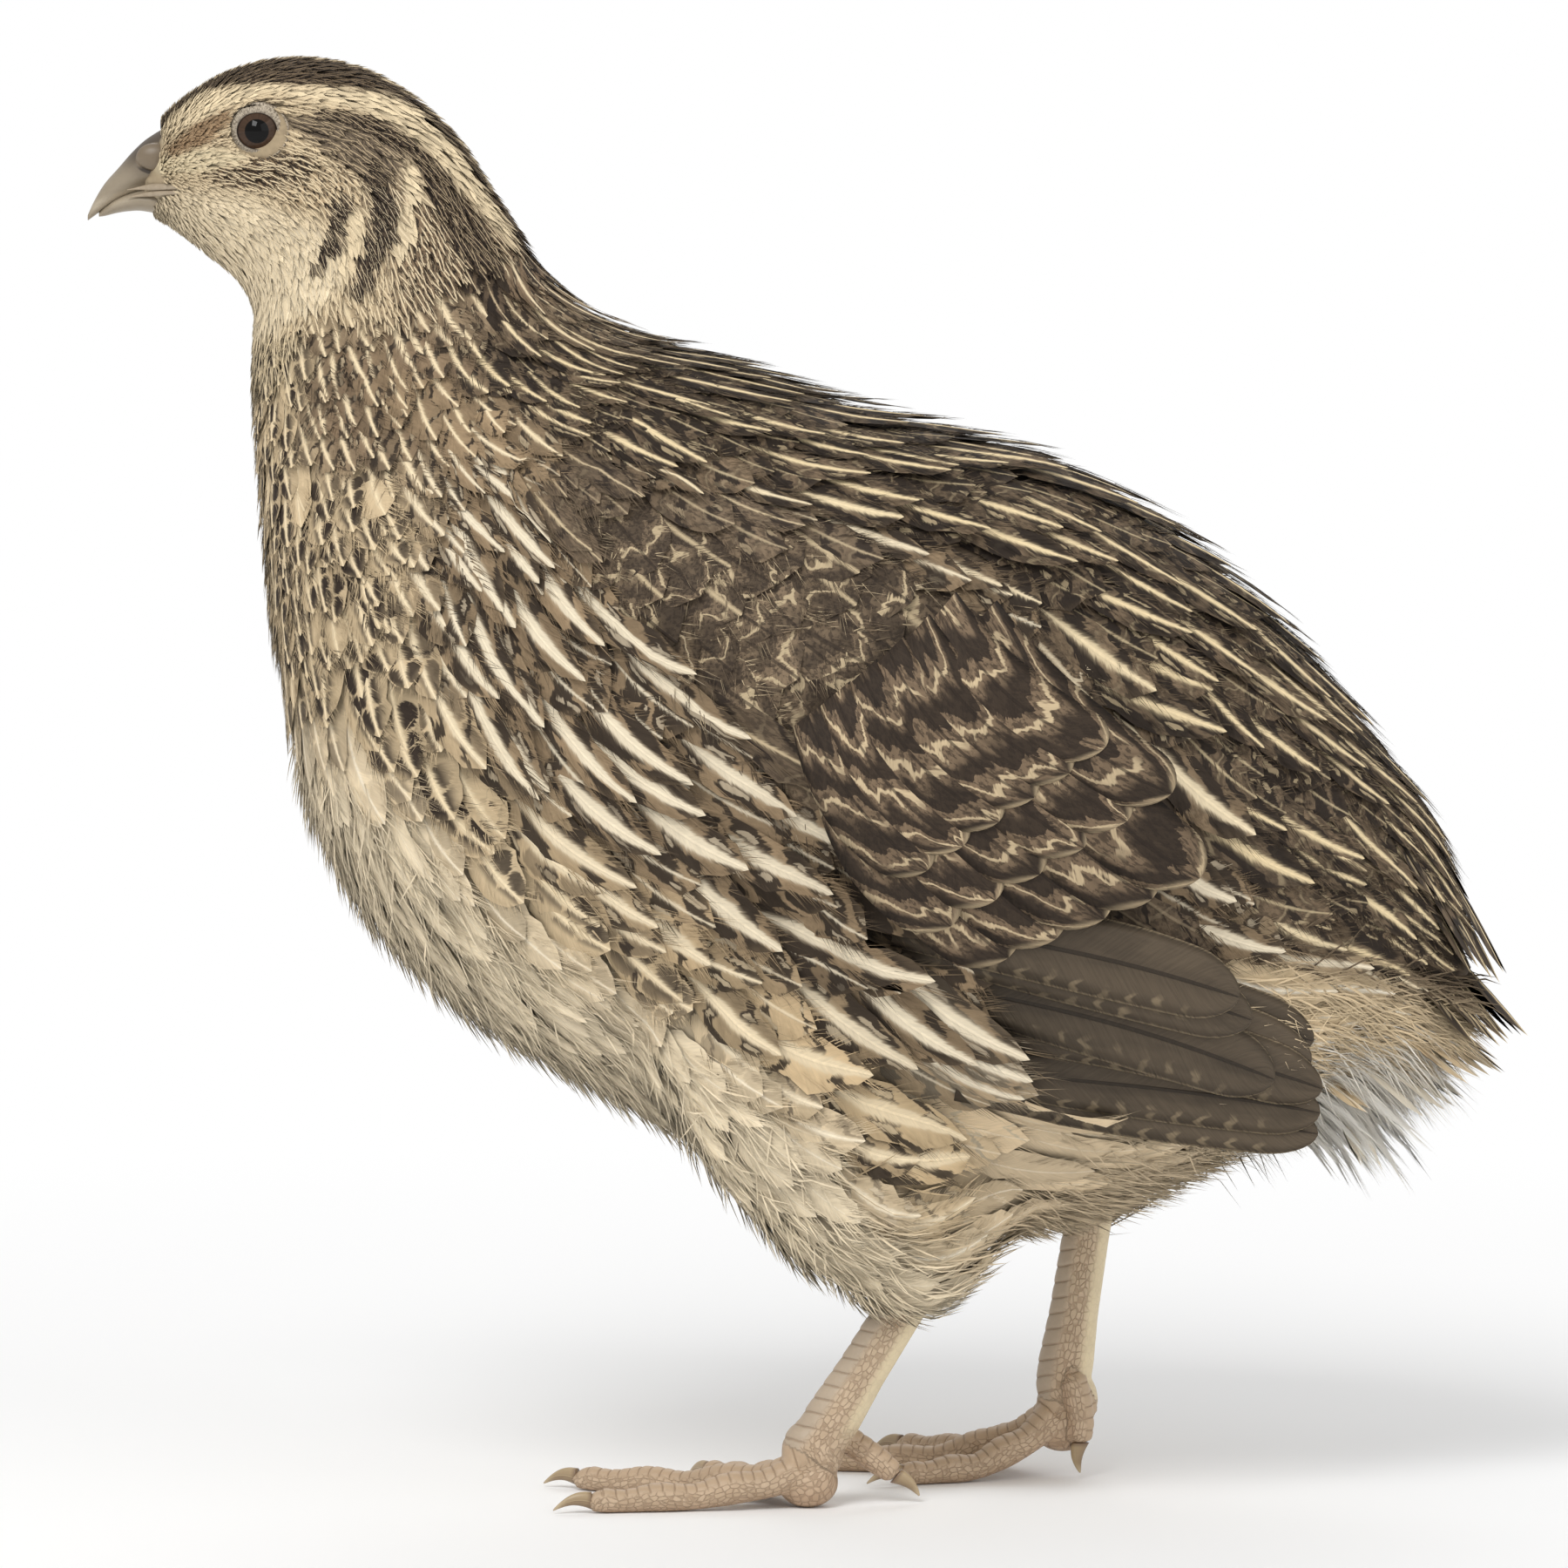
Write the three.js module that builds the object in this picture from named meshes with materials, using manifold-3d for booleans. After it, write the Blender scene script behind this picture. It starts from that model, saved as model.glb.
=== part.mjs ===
// A coturnix quail standing in a short stride, life size, with its wings folded and its neck raised.
// Millimetres, +Z up. The bill points to -X, the bird's left side faces -Y, and the origin is on the floor
// under the middle of its length and width.
import * as THREE from "three";
import { mergeVertices } from "three/addons/utils/BufferGeometryUtils.js";
import Module from "manifold-3d";

const wasm = await Module();
wasm.setup();

// Driving sizes
const GAP = 0.3; // clear space between two pieces that touch
const VANE_THICK = 0.55; // a flight feather with its shaft
const BODY_FULLNESS = 2.15; // 2 is an ellipse, more is squarer
const LEFT = -1;
const RIGHT = 1;

// The trunk from the bill's base to the tail, as stations. back and belly are [x, z] on the outline seen
// from the side, and half is the half-width there. Feathers are included.
const STATIONS = {
  face: { back: [-69.6, 145.4], belly: [-70.3, 137.7], half: 3.3 },
  brow: { back: [-65.7, 149.5], belly: [-67.4, 135.8], half: 6.1 },
  forehead: { back: [-59.9, 152.8], belly: [-63.7, 132.9], half: 8.2 },
  crown: { back: [-52.9, 153.8], belly: [-60.0, 129.6], half: 9.5 },
  hindcrown: { back: [-45.2, 152.0], belly: [-58.4, 126.2], half: 10.1 },
  nape: { back: [-37.8, 146.5], belly: [-58.7, 122.6], half: 10.5 },
  neck: { back: [-32.5, 139.1], belly: [-59.0, 117.8], half: 11.4 },
  neckbase: { back: [-26.4, 130.3], belly: [-58.8, 110.2], half: 13.4 },
  mantle: { back: [-18.0, 124.5], belly: [-58.1, 100.2], half: 17.6 },
  shoulder: { back: [-6.1, 120.8], belly: [-56.6, 88.0], half: 22.6 },
  breast: { back: [6.9, 116.5], belly: [-53.2, 72.6], half: 26.6 },
  keel: { back: [18.1, 113.7], belly: [-46.3, 60.2], half: 29.0 },
  flank: { back: [28.3, 110.5], belly: [-36.0, 50.6], half: 30.0 },
  belly: { back: [38.2, 104.8], belly: [-21.6, 42.4], half: 29.6 },
  loin: { back: [47.0, 98.0], belly: [-6.0, 34.2], half: 27.6 },
  vent: { back: [54.5, 89.8], belly: [10.8, 28.6], half: 24.2 },
  rump: { back: [61.4, 81.0], belly: [26.6, 29.2], half: 19.8 },
  tailroot: { back: [67.0, 72.3], belly: [41.8, 36.4], half: 15.2 },
  tailcoverts: { back: [71.1, 61.2], belly: [53.4, 45.4], half: 10.4 },
  tailtip: { back: [75.2, 51.4], belly: [72.2, 46.6], half: 4.0 },
};
const NAMES = Object.keys(STATIONS);
const at = (name) => NAMES.indexOf(name);

// Where the trunk is parted, in stations.
const HEAD_END = at("nape") - 0.2;
const NECK_END = at("mantle") - 0.25;
const TORSO_END = at("tailroot") - 0.35;

// A smooth curve through evenly spaced values, at t counted in values.
function smooth(values, t) {
  const i = Math.max(0, Math.min(Math.floor(t), values.length - 2));
  const f = t - i;
  const v = (k) => values[Math.max(0, Math.min(values.length - 1, k))];
  const [a, b, c, d] = [v(i - 1), v(i), v(i + 1), v(i + 2)];
  return (
    0.5 *
    (2 * b + (c - a) * f + (2 * a - 5 * b + 4 * c - d) * f * f + (3 * b - a - 3 * c + d) * f * f * f)
  );
}

const track = (pick) => NAMES.map((n) => pick(STATIONS[n]));
const BACK_X = track((s) => s.back[0]);
const BACK_Z = track((s) => s.back[1]);
const BELLY_X = track((s) => s.belly[0]);
const BELLY_Z = track((s) => s.belly[1]);
const HALF = track((s) => s.half);

// The trunk's cross-section at t: its centre, the unit vectors up it and along the trunk, and its half sizes.
function section(t) {
  const back = new THREE.Vector3(smooth(BACK_X, t), 0, smooth(BACK_Z, t));
  const belly = new THREE.Vector3(smooth(BELLY_X, t), 0, smooth(BELLY_Z, t));
  const centre = back.clone().add(belly).multiplyScalar(0.5);
  const up = back.clone().sub(belly);
  const tall = up.length() / 2;
  up.normalize();
  const along = new THREE.Vector3(up.z, 0, -up.x);
  return { centre, up, along, tall, half: smooth(HALF, t) };
}

// A point on the trunk: angle 0 is the back, a quarter turn the right side, a half turn the belly.
function trunkPoint(t, angle, grow = 0) {
  const s = section(t);
  const c = Math.cos(angle);
  const w = Math.sin(angle);
  const r = (Math.abs(c) ** BODY_FULLNESS + Math.abs(w) ** BODY_FULLNESS) ** (-1 / BODY_FULLNESS);
  return s.centre
    .clone()
    .addScaledVector(s.up, (s.tall + grow) * r * c)
    .setY((s.half + grow) * r * w);
}

// The trunk's half-width at a point [x, z] of the side view, by finding the section that passes through it.
function trunkSide(x, z, from = at("neckbase"), to = at("tailtip")) {
  const p = new THREE.Vector3(x, 0, z);
  const ahead = (t) => {
    const s = section(t);
    return p.clone().sub(s.centre).dot(s.along);
  };
  let low = from;
  let high = to;
  for (let i = 0; i < 24; i++) {
    const mid = (low + high) / 2;
    if (ahead(mid) > 0) low = mid;
    else high = mid;
  }
  const s = section(low);
  const q = Math.min(1, Math.abs(p.clone().sub(s.centre).dot(s.up)) / s.tall);
  return s.half * (1 - q ** BODY_FULLNESS) ** (1 / BODY_FULLNESS);
}

const middleOf = (ring) => ring.reduce((a, p) => a.add(p), new THREE.Vector3()).divideScalar(ring.length);

// A closed surface from rings of equal length, with its ends closed by fans.
function ringsGeometry(rings) {
  const n = rings[0].length;
  const points = rings.flat();
  const first = points.length;
  points.push(middleOf(rings[0]), middleOf(rings[rings.length - 1]));
  const faces = [];
  for (let i = 0; i + 1 < rings.length; i++)
    for (let j = 0; j < n; j++) {
      const [a, b] = [i * n + j, i * n + ((j + 1) % n)];
      faces.push(a, b, b + n, a, b + n, a + n);
    }
  const last = (rings.length - 1) * n;
  for (let j = 0; j < n; j++) {
    faces.push(first, (j + 1) % n, j);
    faces.push(first + 1, last + j, last + ((j + 1) % n));
  }
  return new THREE.BufferGeometry().setFromPoints(points).setIndex(faces);
}

// A closed geometry as a solid, turned right side out.
function solid(geometry) {
  const bare = geometry.clone();
  bare.deleteAttribute("normal");
  bare.deleteAttribute("uv");
  const merged = mergeVertices(bare, 1e-4);
  const build = (triVerts) =>
    new wasm.Manifold(
      new wasm.Mesh({
        numProp: 3,
        vertProperties: new Float32Array(merged.attributes.position.array),
        triVerts,
      }),
    );
  const faces = new Uint32Array(merged.index.array);
  const made = build(faces);
  if (made.volume() > 0) return made;
  for (let i = 0; i < faces.length; i += 3) [faces[i + 1], faces[i + 2]] = [faces[i + 2], faces[i + 1]];
  return build(faces);
}

const join = (solids) => solids.reduce((a, b) => a.add(b));

// The largest closed surface of a solid, which drops loose scraps and fills sealed hollows.
function largest(made) {
  const pieces = made.decompose().sort((a, b) => b.volume() - a.volume());
  return pieces[0];
}

function geometryOf(made) {
  const mesh = made.getMesh();
  const positions = new Float32Array(mesh.numVert * 3);
  for (let i = 0; i < mesh.numVert; i++)
    positions.set(mesh.vertProperties.subarray(i * mesh.numProp, i * mesh.numProp + 3), i * 3);
  const geometry = new THREE.BufferGeometry()
    .setAttribute("position", new THREE.BufferAttribute(positions, 3))
    .setIndex(new THREE.BufferAttribute(new Uint32Array(mesh.triVerts), 1));
  geometry.computeVertexNormals();
  return geometry;
}

// Finishes
const finish = (color, roughness) => new THREE.MeshStandardMaterial({ color, roughness, metalness: 0 });
const PLUMAGE = finish(0x6b5a48, 0.85);
const BREAST = finish(0xc0ab86, 0.85);
const FACE = finish(0xa08c6c, 0.85);
const FLIGHT = finish(0x48403a, 0.7);
const BELLY_DOWN = finish(0xbcae8e, 0.9);
const HORN = finish(0x8c8070, 0.45);
const SCALES = finish(0xc0a083, 0.55);
const CLAW = finish(0x8f7c63, 0.4);
const EYE = finish(0x1c1410, 0.08);

const quail = new THREE.Group();
const solids = {};
function add(name, made, material) {
  const kept = largest(made);
  solids[name] = kept;
  const mesh = new THREE.Mesh(geometryOf(kept), material);
  mesh.name = name;
  quail.add(mesh);
}

// A length of the trunk between two stations, parted half a gap inside each cut. Grown by a whole gap it is
// the room that a neighbour leaves for it.
function trunkLength(from, to, count, around, grow = 0) {
  const end = grow === GAP ? -GAP / 2 : GAP / 2;
  const rings = [];
  for (let i = 0; i <= count; i++) {
    const t = from + ((to - from) * i) / count;
    const inset = i === 0 ? end : i === count ? -end : 0;
    const shift = section(t).along.multiplyScalar(inset);
    const ring = [];
    for (let j = 0; j < around; j++) ring.push(trunkPoint(t, (2 * Math.PI * j) / around, grow).add(shift));
    rings.push(ring);
  }
  return solid(ringsGeometry(rings));
}

// An ellipsoid with the given half sizes, centred at a point.
function ellipsoid(centre, sizes, wide = 14, tall = 10) {
  const g = new THREE.SphereGeometry(1, wide, tall).scale(...sizes).translate(...centre);
  return solid(g);
}

// Bill. Each half is a row of sections from inside the face to the tip: [x, top z, bottom z, half-width].
const BILL_UPPER = [
  [-67.6, 145.4, 139.9, 3.1],
  [-70.0, 145.1, 139.8, 2.95],
  [-71.4, 143.8, 139.6, 2.65],
  [-73.0, 142.0, 139.1, 2.15],
  [-74.5, 140.3, 138.1, 1.55],
  [-75.6, 138.5, 137.2, 0.95],
  [-76.3, 137.0, 136.5, 0.3],
];
const BILL_LOWER = [
  [-67.6, 139.5, 137.2, 2.85],
  [-70.4, 139.4, 137.6, 2.6],
  [-71.8, 139.1, 137.5, 2.15],
  [-73.2, 138.5, 137.3, 1.65],
  [-74.4, 137.6, 137.0, 1.05],
  [-75.1, 137.0, 136.8, 0.5],
];
const NOSTRIL = { x: -69.2, z: 143.2, y: 2.35, sizes: [1.75, 1.2, 1.35] };

// A horn sheath: each section is an arch, flat where the two halves meet.
function hornGeometry(rows, archUp, grow = 0) {
  const around = 12;
  return ringsGeometry(
    rows.map(([x, top, bottom, half], i) => {
      const ring = [];
      const end = i === 0 ? grow : 0;
      for (let j = 0; j < around; j++) {
        const a = (2 * Math.PI * j) / around;
        const arch = (Math.cos(a) + 1) / 2;
        const rise = archUp ? arch ** 0.8 : 1 - (1 - arch) ** 0.8;
        const wide = Math.sin(a) * (archUp ? 1.05 - 0.2 * arch : 0.85 + 0.2 * arch);
        const z = bottom - grow + (top - bottom + 2 * grow) * rise;
        ring.push(new THREE.Vector3(x + end, (half + grow) * wide, z));
      }
      return ring;
    }),
  );
}
const opercula = (grow) =>
  join(
    [LEFT, RIGHT].map((side) =>
      ellipsoid([NOSTRIL.x, side * NOSTRIL.y, NOSTRIL.z], NOSTRIL.sizes.map((s) => s + grow), 12, 8),
    ),
  );
const slits = join(
  [LEFT, RIGHT].map((side) =>
    ellipsoid([NOSTRIL.x - 0.2, side * (NOSTRIL.y + 1.0), NOSTRIL.z - 0.95], [1.3, 0.55, 0.32], 10, 6),
  ),
);
const upperBill = (grow) => solid(hornGeometry(BILL_UPPER, true, grow)).add(opercula(grow));
const lowerBill = (grow) => solid(hornGeometry(BILL_LOWER, false, grow));
add("bill_upper", upperBill(0).subtract(slits), HORN);
add("bill_lower", lowerBill(0), HORN);

// Head, with a raised lid round each eye, a socket behind it, and the line of the mouth running back into the
// cheek.
const EYE_AT = { x: -57.9, z: 146.2, radius: 3.6, sunk: 3.2 };
const LID = { radius: 2.65, thick: 0.5, proud: 0.05 };
const MOUTH = { back: -62.9, front: -68.5, z: 139.7, wide: 0.35, deep: 0.7 };
const eyeSide = trunkSide(EYE_AT.x, EYE_AT.z, 0, at("neck"));
const eyeBall = (side, grow) =>
  ellipsoid(
    [EYE_AT.x, side * (eyeSide - EYE_AT.sunk), EYE_AT.z],
    [0, 0, 0].map(() => EYE_AT.radius + grow),
    16,
    10,
  );
const lid = (side) => {
  const ring = new THREE.TorusGeometry(LID.radius, LID.thick, 6, 16)
    .rotateX(Math.PI / 2)
    .scale(1.06, 1, 1)
    .translate(EYE_AT.x, side * (eyeSide + LID.proud), EYE_AT.z);
  return solid(ring);
};
const mouthLine = (side) => {
  const [y0, y1] = [MOUTH.front, MOUTH.back].map((x) => trunkSide(x, MOUTH.z, 0, at("neck")));
  const long = Math.hypot(MOUTH.back - MOUTH.front, y1 - y0);
  const turn = Math.atan2(y1 - y0, MOUTH.back - MOUTH.front);
  const slot = new THREE.BoxGeometry(long, 2 * MOUTH.deep, MOUTH.wide).rotateZ(side * turn);
  return solid(slot.translate((MOUTH.front + MOUTH.back) / 2, (side * (y0 + y1)) / 2, MOUTH.z));
};
let head = trunkLength(0, HEAD_END, 13, 22);
for (const side of [LEFT, RIGHT])
  head = head.add(lid(side)).subtract(eyeBall(side, GAP)).subtract(mouthLine(side));
head = head.subtract(upperBill(GAP)).subtract(lowerBill(GAP));
add("head", head, FACE);
add("eye_left", eyeBall(LEFT, 0), EYE);
add("eye_right", eyeBall(RIGHT, 0), EYE);

// Neck and torso
add("neck", trunkLength(HEAD_END, NECK_END, 6, 24), PLUMAGE);
add("torso", trunkLength(NECK_END, TORSO_END, 18, 26), BREAST);
const torsoRoom = trunkLength(NECK_END, TORSO_END, 18, 26, GAP);

// A feather vane as a closed slab. place(s, t) gives its middle surface: s runs from root to tip and t across
// it from -1 to 1. out(s, t) is the way it is thickened there.
function vane(place, out, steps = 4) {
  const across = [-1, 0, 1];
  const rows = [];
  for (let i = 0; i <= steps; i++)
    rows.push(across.map((t) => [place(i / steps, t), out(i / steps, t)]));
  const points = [];
  for (const face of [0.5, -0.5])
    for (const row of rows)
      for (const [p, n] of row) points.push(p.clone().addScaledVector(n, face * VANE_THICK));
  const under = 3 * (steps + 1);
  const faces = [];
  const quad = (a, b, c, d) => faces.push(a, b, c, a, c, d);
  for (let i = 0; i < steps; i++) {
    for (let j = 0; j < 2; j++) {
      const a = 3 * i + j;
      quad(a, a + 1, a + 4, a + 3);
      faces.push(under + a, under + a + 4, under + a + 1, under + a, under + a + 3, under + a + 4);
    }
    const l = 3 * i;
    quad(l, l + 3, l + 3 + under, l + under);
    const r = 3 * i + 2;
    quad(r, r + under, r + 3 + under, r + 3);
  }
  for (let j = 0; j < 2; j++) {
    quad(j, j + under, j + 1 + under, j + 1);
    const e = 3 * steps + j;
    quad(e, e + 1, e + 1 + under, e + under);
  }
  return solid(new THREE.BufferGeometry().setFromPoints(points).setIndex(faces));
}

// Half-width of a vane along its length, as a share of its greatest: narrow at the root, broad past the
// middle, blunt at the tip.
const vaneWidth = (s) => Math.sin(Math.PI * (0.12 + 0.78 * s ** 1.15)) ** 0.6;

// Wings. A wing is a lens of small coverts that hugs the torso's side, with tiers of vanes rooted in it.
// Places are [x, z] in the side view.
const WING = {
  line: [
    [-27.5, 109.0],
    [-13.5, 101.5],
    [0.5, 93.0],
    [15.0, 82.0],
    [27.0, 71.5],
    [34.0, 63.0],
  ],
  halfWidths: [2.4, 8.0, 12.6, 14.6, 12.6, 6.5],
  thick: [1.6, 2.9, 3.4, 3.4, 3.0, 2.0],
  rows: 10,
  columns: 8,
  tip: { x: 54, side: 13.0 }, // the folded wing's tip, and its distance from the middle plane
  bend: 26, // where the flight feathers begin to draw in to the tip
  flare: 0.34, // how fast they do
  ease: 0.7, // how fast that guide falls away forward of the bend, where the torso alone guides
};
const SHINGLE = 0.95; // one vane's middle above the next

// How far out the wing's inner face lies: on the torso, and drawn in evenly to the tip past its outline.
function wingBase(x, z) {
  const onTorso = trunkSide(x, z) + GAP;
  const run = WING.tip.x - Math.max(x, WING.bend);
  const free = WING.tip.side + run * WING.flare - Math.max(0, WING.bend - x) * WING.ease;
  const soft = 2.0;
  const d = onTorso - free;
  return free + 0.5 * (d + Math.sqrt(d * d + soft * soft));
}

function wingLens(side) {
  const spots = (k) => WING.line.map((p) => p[k]);
  const last = WING.line.length - 1;
  const outer = [];
  const inner = [];
  for (let i = 0; i <= WING.rows; i++) {
    const t = (last * i) / WING.rows;
    const [x, z] = [smooth(spots(0), t), smooth(spots(1), t)];
    const [before, after] = [Math.max(0, t - 0.05), Math.min(last, t + 0.05)];
    const ahead = new THREE.Vector2(
      smooth(spots(0), after) - smooth(spots(0), before),
      smooth(spots(1), after) - smooth(spots(1), before),
    ).normalize();
    const half = smooth(WING.halfWidths, t);
    const thick = smooth(WING.thick, t);
    for (let j = 0; j <= WING.columns; j++) {
      const b = -1 + (2 * j) / WING.columns;
      const px = x - ahead.y * half * b;
      const pz = z + ahead.x * half * b;
      const base = wingBase(px, pz) + 0.08;
      const rise = 0.5 + thick * (1 - b * b) ** 0.6;
      inner.push(new THREE.Vector3(px, side * base, pz));
      outer.push(new THREE.Vector3(px, side * (base + rise), pz));
    }
  }
  const across = WING.columns + 1;
  const count = outer.length;
  const faces = [];
  const quad = (a, b, c, d) => faces.push(a, b, c, a, c, d);
  for (let i = 0; i < WING.rows; i++) {
    for (let j = 0; j < WING.columns; j++) {
      const a = i * across + j;
      quad(a, a + 1, a + 1 + across, a + across);
      const b = a + count;
      quad(b, b + across, b + across + 1, b + 1);
    }
    const l = i * across;
    quad(l, l + across, l + across + count, l + count);
    const r = l + WING.columns;
    quad(r, r + count, r + across + count, r + across);
  }
  for (let j = 0; j < WING.columns; j++) {
    quad(j, j + count, j + 1 + count, j + 1);
    const e = WING.rows * across + j;
    quad(e, e + 1, e + 1 + count, e + count);
  }
  return solid(new THREE.BufferGeometry().setFromPoints([...outer, ...inner]).setIndex(faces));
}

// Tiers of wing feathers, lowest tier first. Each feather has a root, a tip, a half-width, a bow (how far its
// middle stands off the straight line) and a layer counted in shingles from the wing's inner face.
const FLIGHT_FEATHERS = [
  { root: [16.0, 47.6], tip: [54.0, 40.9], half: 3.7, bow: 0.6, layer: 0.6 },
  { root: [14.0, 54.0], tip: [54.3, 45.2], half: 3.8, bow: 2.0, layer: 1.6 },
  { root: [13.0, 62.0], tip: [53.4, 50.4], half: 3.8, bow: 1.0, layer: 0.6 },
  { root: [12.0, 58.0], tip: [49.2, 46.6], half: 4.2, bow: 1.6, layer: 2.6 },
  { root: [8.5, 64.5], tip: [45.2, 56.0], half: 4.2, bow: 1.4, layer: 3.6 },
];
const TERTIALS = [
  { root: [8.0, 84.0], tip: [24.5, 61.5], half: 4.4, bow: -1.5, layer: 4.1 },
  { root: [12.0, 88.0], tip: [32.0, 61.8], half: 4.6, bow: -2.0, layer: 4.5 },
  { root: [16.0, 91.5], tip: [38.3, 63.5], half: 4.8, bow: -2.6, layer: 4.9 },
  { root: [18.0, 94.0], tip: [40.8, 71.0], half: 4.6, bow: -2.6, layer: 5.3 },
];
const GREATER_COVERTS = [
  { root: [0.0, 82.0], tip: [11.0, 64.0], half: 3.6, bow: -0.8, layer: 4.6 },
  { root: [3.0, 86.0], tip: [18.0, 66.0], half: 3.8, bow: -1.0, layer: 5.4 },
  { root: [5.0, 91.0], tip: [24.0, 71.5], half: 3.8, bow: -1.2, layer: 6.2 },
];

function wingVane(side, feather) {
  const { root, tip, half, bow, layer } = feather;
  const run = new THREE.Vector2(tip[0] - root[0], tip[1] - root[1]);
  const length = run.length();
  run.normalize();
  const place = (s, t) => {
    const reach = s - 0.04 * t * t * s;
    const off = half * vaneWidth(s) * t + bow * 4 * reach * (1 - reach);
    const x = root[0] + run.x * length * reach - run.y * off;
    const z = root[1] + run.y * length * reach + run.x * off;
    const sink = Math.max(0, 0.25 - s) * 8;
    const y = wingBase(x, z) + Math.max(0.45, layer * SHINGLE - sink);
    return new THREE.Vector3(x, side * y, z);
  };
  return vane(place, () => new THREE.Vector3(0, side, 0), 5);
}

for (const side of [LEFT, RIGHT]) {
  const feathers = [...FLIGHT_FEATHERS, ...TERTIALS, ...GREATER_COVERTS];
  const pieces = [wingLens(side), ...feathers.map((f) => wingVane(side, f))];
  add(side === LEFT ? "wing_left" : "wing_right", join(pieces), FLIGHT);
}

// Tail. A wedge of down carries tiers of vanes: the tail feathers and their upper coverts run along the
// rump's outline, and the pale under coverts hang behind the vent. Each tier is given by its middle pair's
// root and tip [x, z], the outermost tip's distance from the middle plane and how much shorter it is. The
// middle pair lies highest and each pair outside it a step lower, as a roof.
const TAIL_TIERS = [
  { pairs: 5, root: [56.0, 70.0], tip: [76.0, 49.6], spread: 10.0, shorter: 3.0, half: 2.6, steps: 4 },
  { pairs: 3, root: [61.5, 78.0], tip: [73.4, 56.6], spread: 8.0, shorter: 2.0, half: 2.7, steps: 3 },
  { pairs: 3, root: [52.0, 60.0], tip: [74.4, 43.9], spread: 8.0, shorter: 3.0, half: 2.7, steps: 3 },
  { pairs: 2, root: [51.5, 55.5], tip: [60.8, 35.6], spread: 4.6, shorter: 1.0, half: 2.6, steps: 3 },
];
const TAIL_TILT = 0.15; // turn of each tail vane's surface, radians
const TAIL_CORE_INSET = 1.4; // the wedge lies inside the outline by this much

function tailVane(tier, side, k) {
  const f = k / (tier.pairs - 1);
  const first = tier.half * 0.95;
  const apart = (tier.spread - first) / (tier.pairs - 1);
  const root = new THREE.Vector3(tier.root[0], side * (first + 0.4 * apart * k), tier.root[1]);
  const tip = new THREE.Vector3(tier.tip[0], side * (first + apart * k), tier.tip[1]);
  const run = tip.clone().sub(root);
  const length = run.length() - tier.shorter * f;
  run.normalize();
  const across = new THREE.Vector3(0, 1, 0).applyAxisAngle(run, side * TAIL_TILT).normalize();
  const normal = across.clone().cross(run).normalize();
  if (normal.x < 0) normal.negate();
  const down = -k * (SHINGLE + apart * Math.sin(TAIL_TILT));
  const place = (s, t) =>
    root
      .clone()
      .addScaledVector(run, length * (s - 0.05 * t * t * s))
      .addScaledVector(across, tier.half * vaneWidth(s) * t)
      .addScaledVector(normal, down);
  return vane(place, () => normal, tier.steps);
}

const tailPieces = [trunkLength(TORSO_END, at("tailcoverts") + 0.3, 6, 18, -TAIL_CORE_INSET)];
for (const tier of TAIL_TIERS)
  for (let k = 0; k < tier.pairs; k++)
    for (const side of [LEFT, RIGHT]) tailPieces.push(tailVane(tier, side, k));
add("tail", join(tailPieces).subtract(torsoRoom), PLUMAGE);

// A limb as a tube of oval sections: each is [x, y, z, half front to back, half side to side, and how far its
// front is raised].
function limb(sections, around) {
  const centres = sections.map((s) => new THREE.Vector3(s[0], s[1], s[2]));
  return solid(
    ringsGeometry(
      sections.map((s, i) => {
        const before = centres[Math.max(0, i - 1)];
        const after = centres[Math.min(centres.length - 1, i + 1)];
        const run = after.clone().sub(before).normalize();
        const sideways = new THREE.Vector3(0, 1, 0);
        const front = sideways.clone().cross(run).normalize();
        sideways.copy(run).cross(front).normalize();
        const ring = [];
        for (let j = 0; j < around; j++) {
          const a = (2 * Math.PI * j) / around;
          const raised = s[3] + (s[5] ?? 0) * Math.max(0, -Math.cos(a));
          ring.push(
            centres[i]
              .clone()
              .addScaledVector(front, raised * Math.cos(a))
              .addScaledVector(sideways, s[4] * Math.sin(a)),
          );
        }
        return ring;
      }),
    ),
  );
}

// Legs. Each has its hock and its foot joint as [x, z] in the side view, the down of its thigh as [x, z,
// radius] from inside the torso's outline, and toes as the ground angle inward from straight ahead, in
// radians, and the length without claw.
const LEGS = [
  {
    word: "left",
    side: LEFT,
    hock: [15.2, 29.5],
    foot: [-0.2, 4.4],
    heel: 2.6, // height of the ball of the foot's middle
    thigh: [
      [-5.0, 55.0, 15.0],
      [0.5, 46.0, 15.0],
      [6.5, 37.0, 13.4],
      [11.0, 29.0, 10.4],
      [11.8, 23.8, 5.4],
    ],
    hallux: { start: [3.4, 8.2], end: [9.6, 2.9] },
    toes: { inner: [1.0, 18.0], middle: [0.455, 26.6], outer: [-0.15, 22.4] },
  },
  {
    word: "right",
    side: RIGHT,
    hock: [31.6, 34.6],
    foot: [27.4, 6.8],
    heel: 5.4,
    thigh: [
      [12.0, 58.0, 14.0],
      [19.0, 48.0, 13.0],
      [26.0, 40.0, 10.5],
      [30.4, 34.0, 7.4],
      [31.4, 30.0, 4.0],
    ],
    hallux: { start: [29.9, 11.6], end: [29.7, 4.0] },
    toes: { inner: [0.32, 17.4], middle: [-0.14, 25.2], outer: [-0.68, 21.0] },
  },
];
const FOOT = {
  y: 10.5, // the foot's distance from the middle plane
  hipY: 13.5, // the thigh's, where it leaves the body
  ankle: [3.0, 2.3], // half sizes front to back and side to side
  shin: 2.7,
  shinSide: 2.0,
  palm: 3.0,
  ball: [3.3, 3.1, 2.8], // half sizes of the round pad behind the toes
  toe: 1.85, // radius at the root
  toeTip: 1.3,
  lifted: 0.62, // share of a toe's length over which it comes down to the floor
  apart: 1.2, // between one toe's root and the next
};
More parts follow.
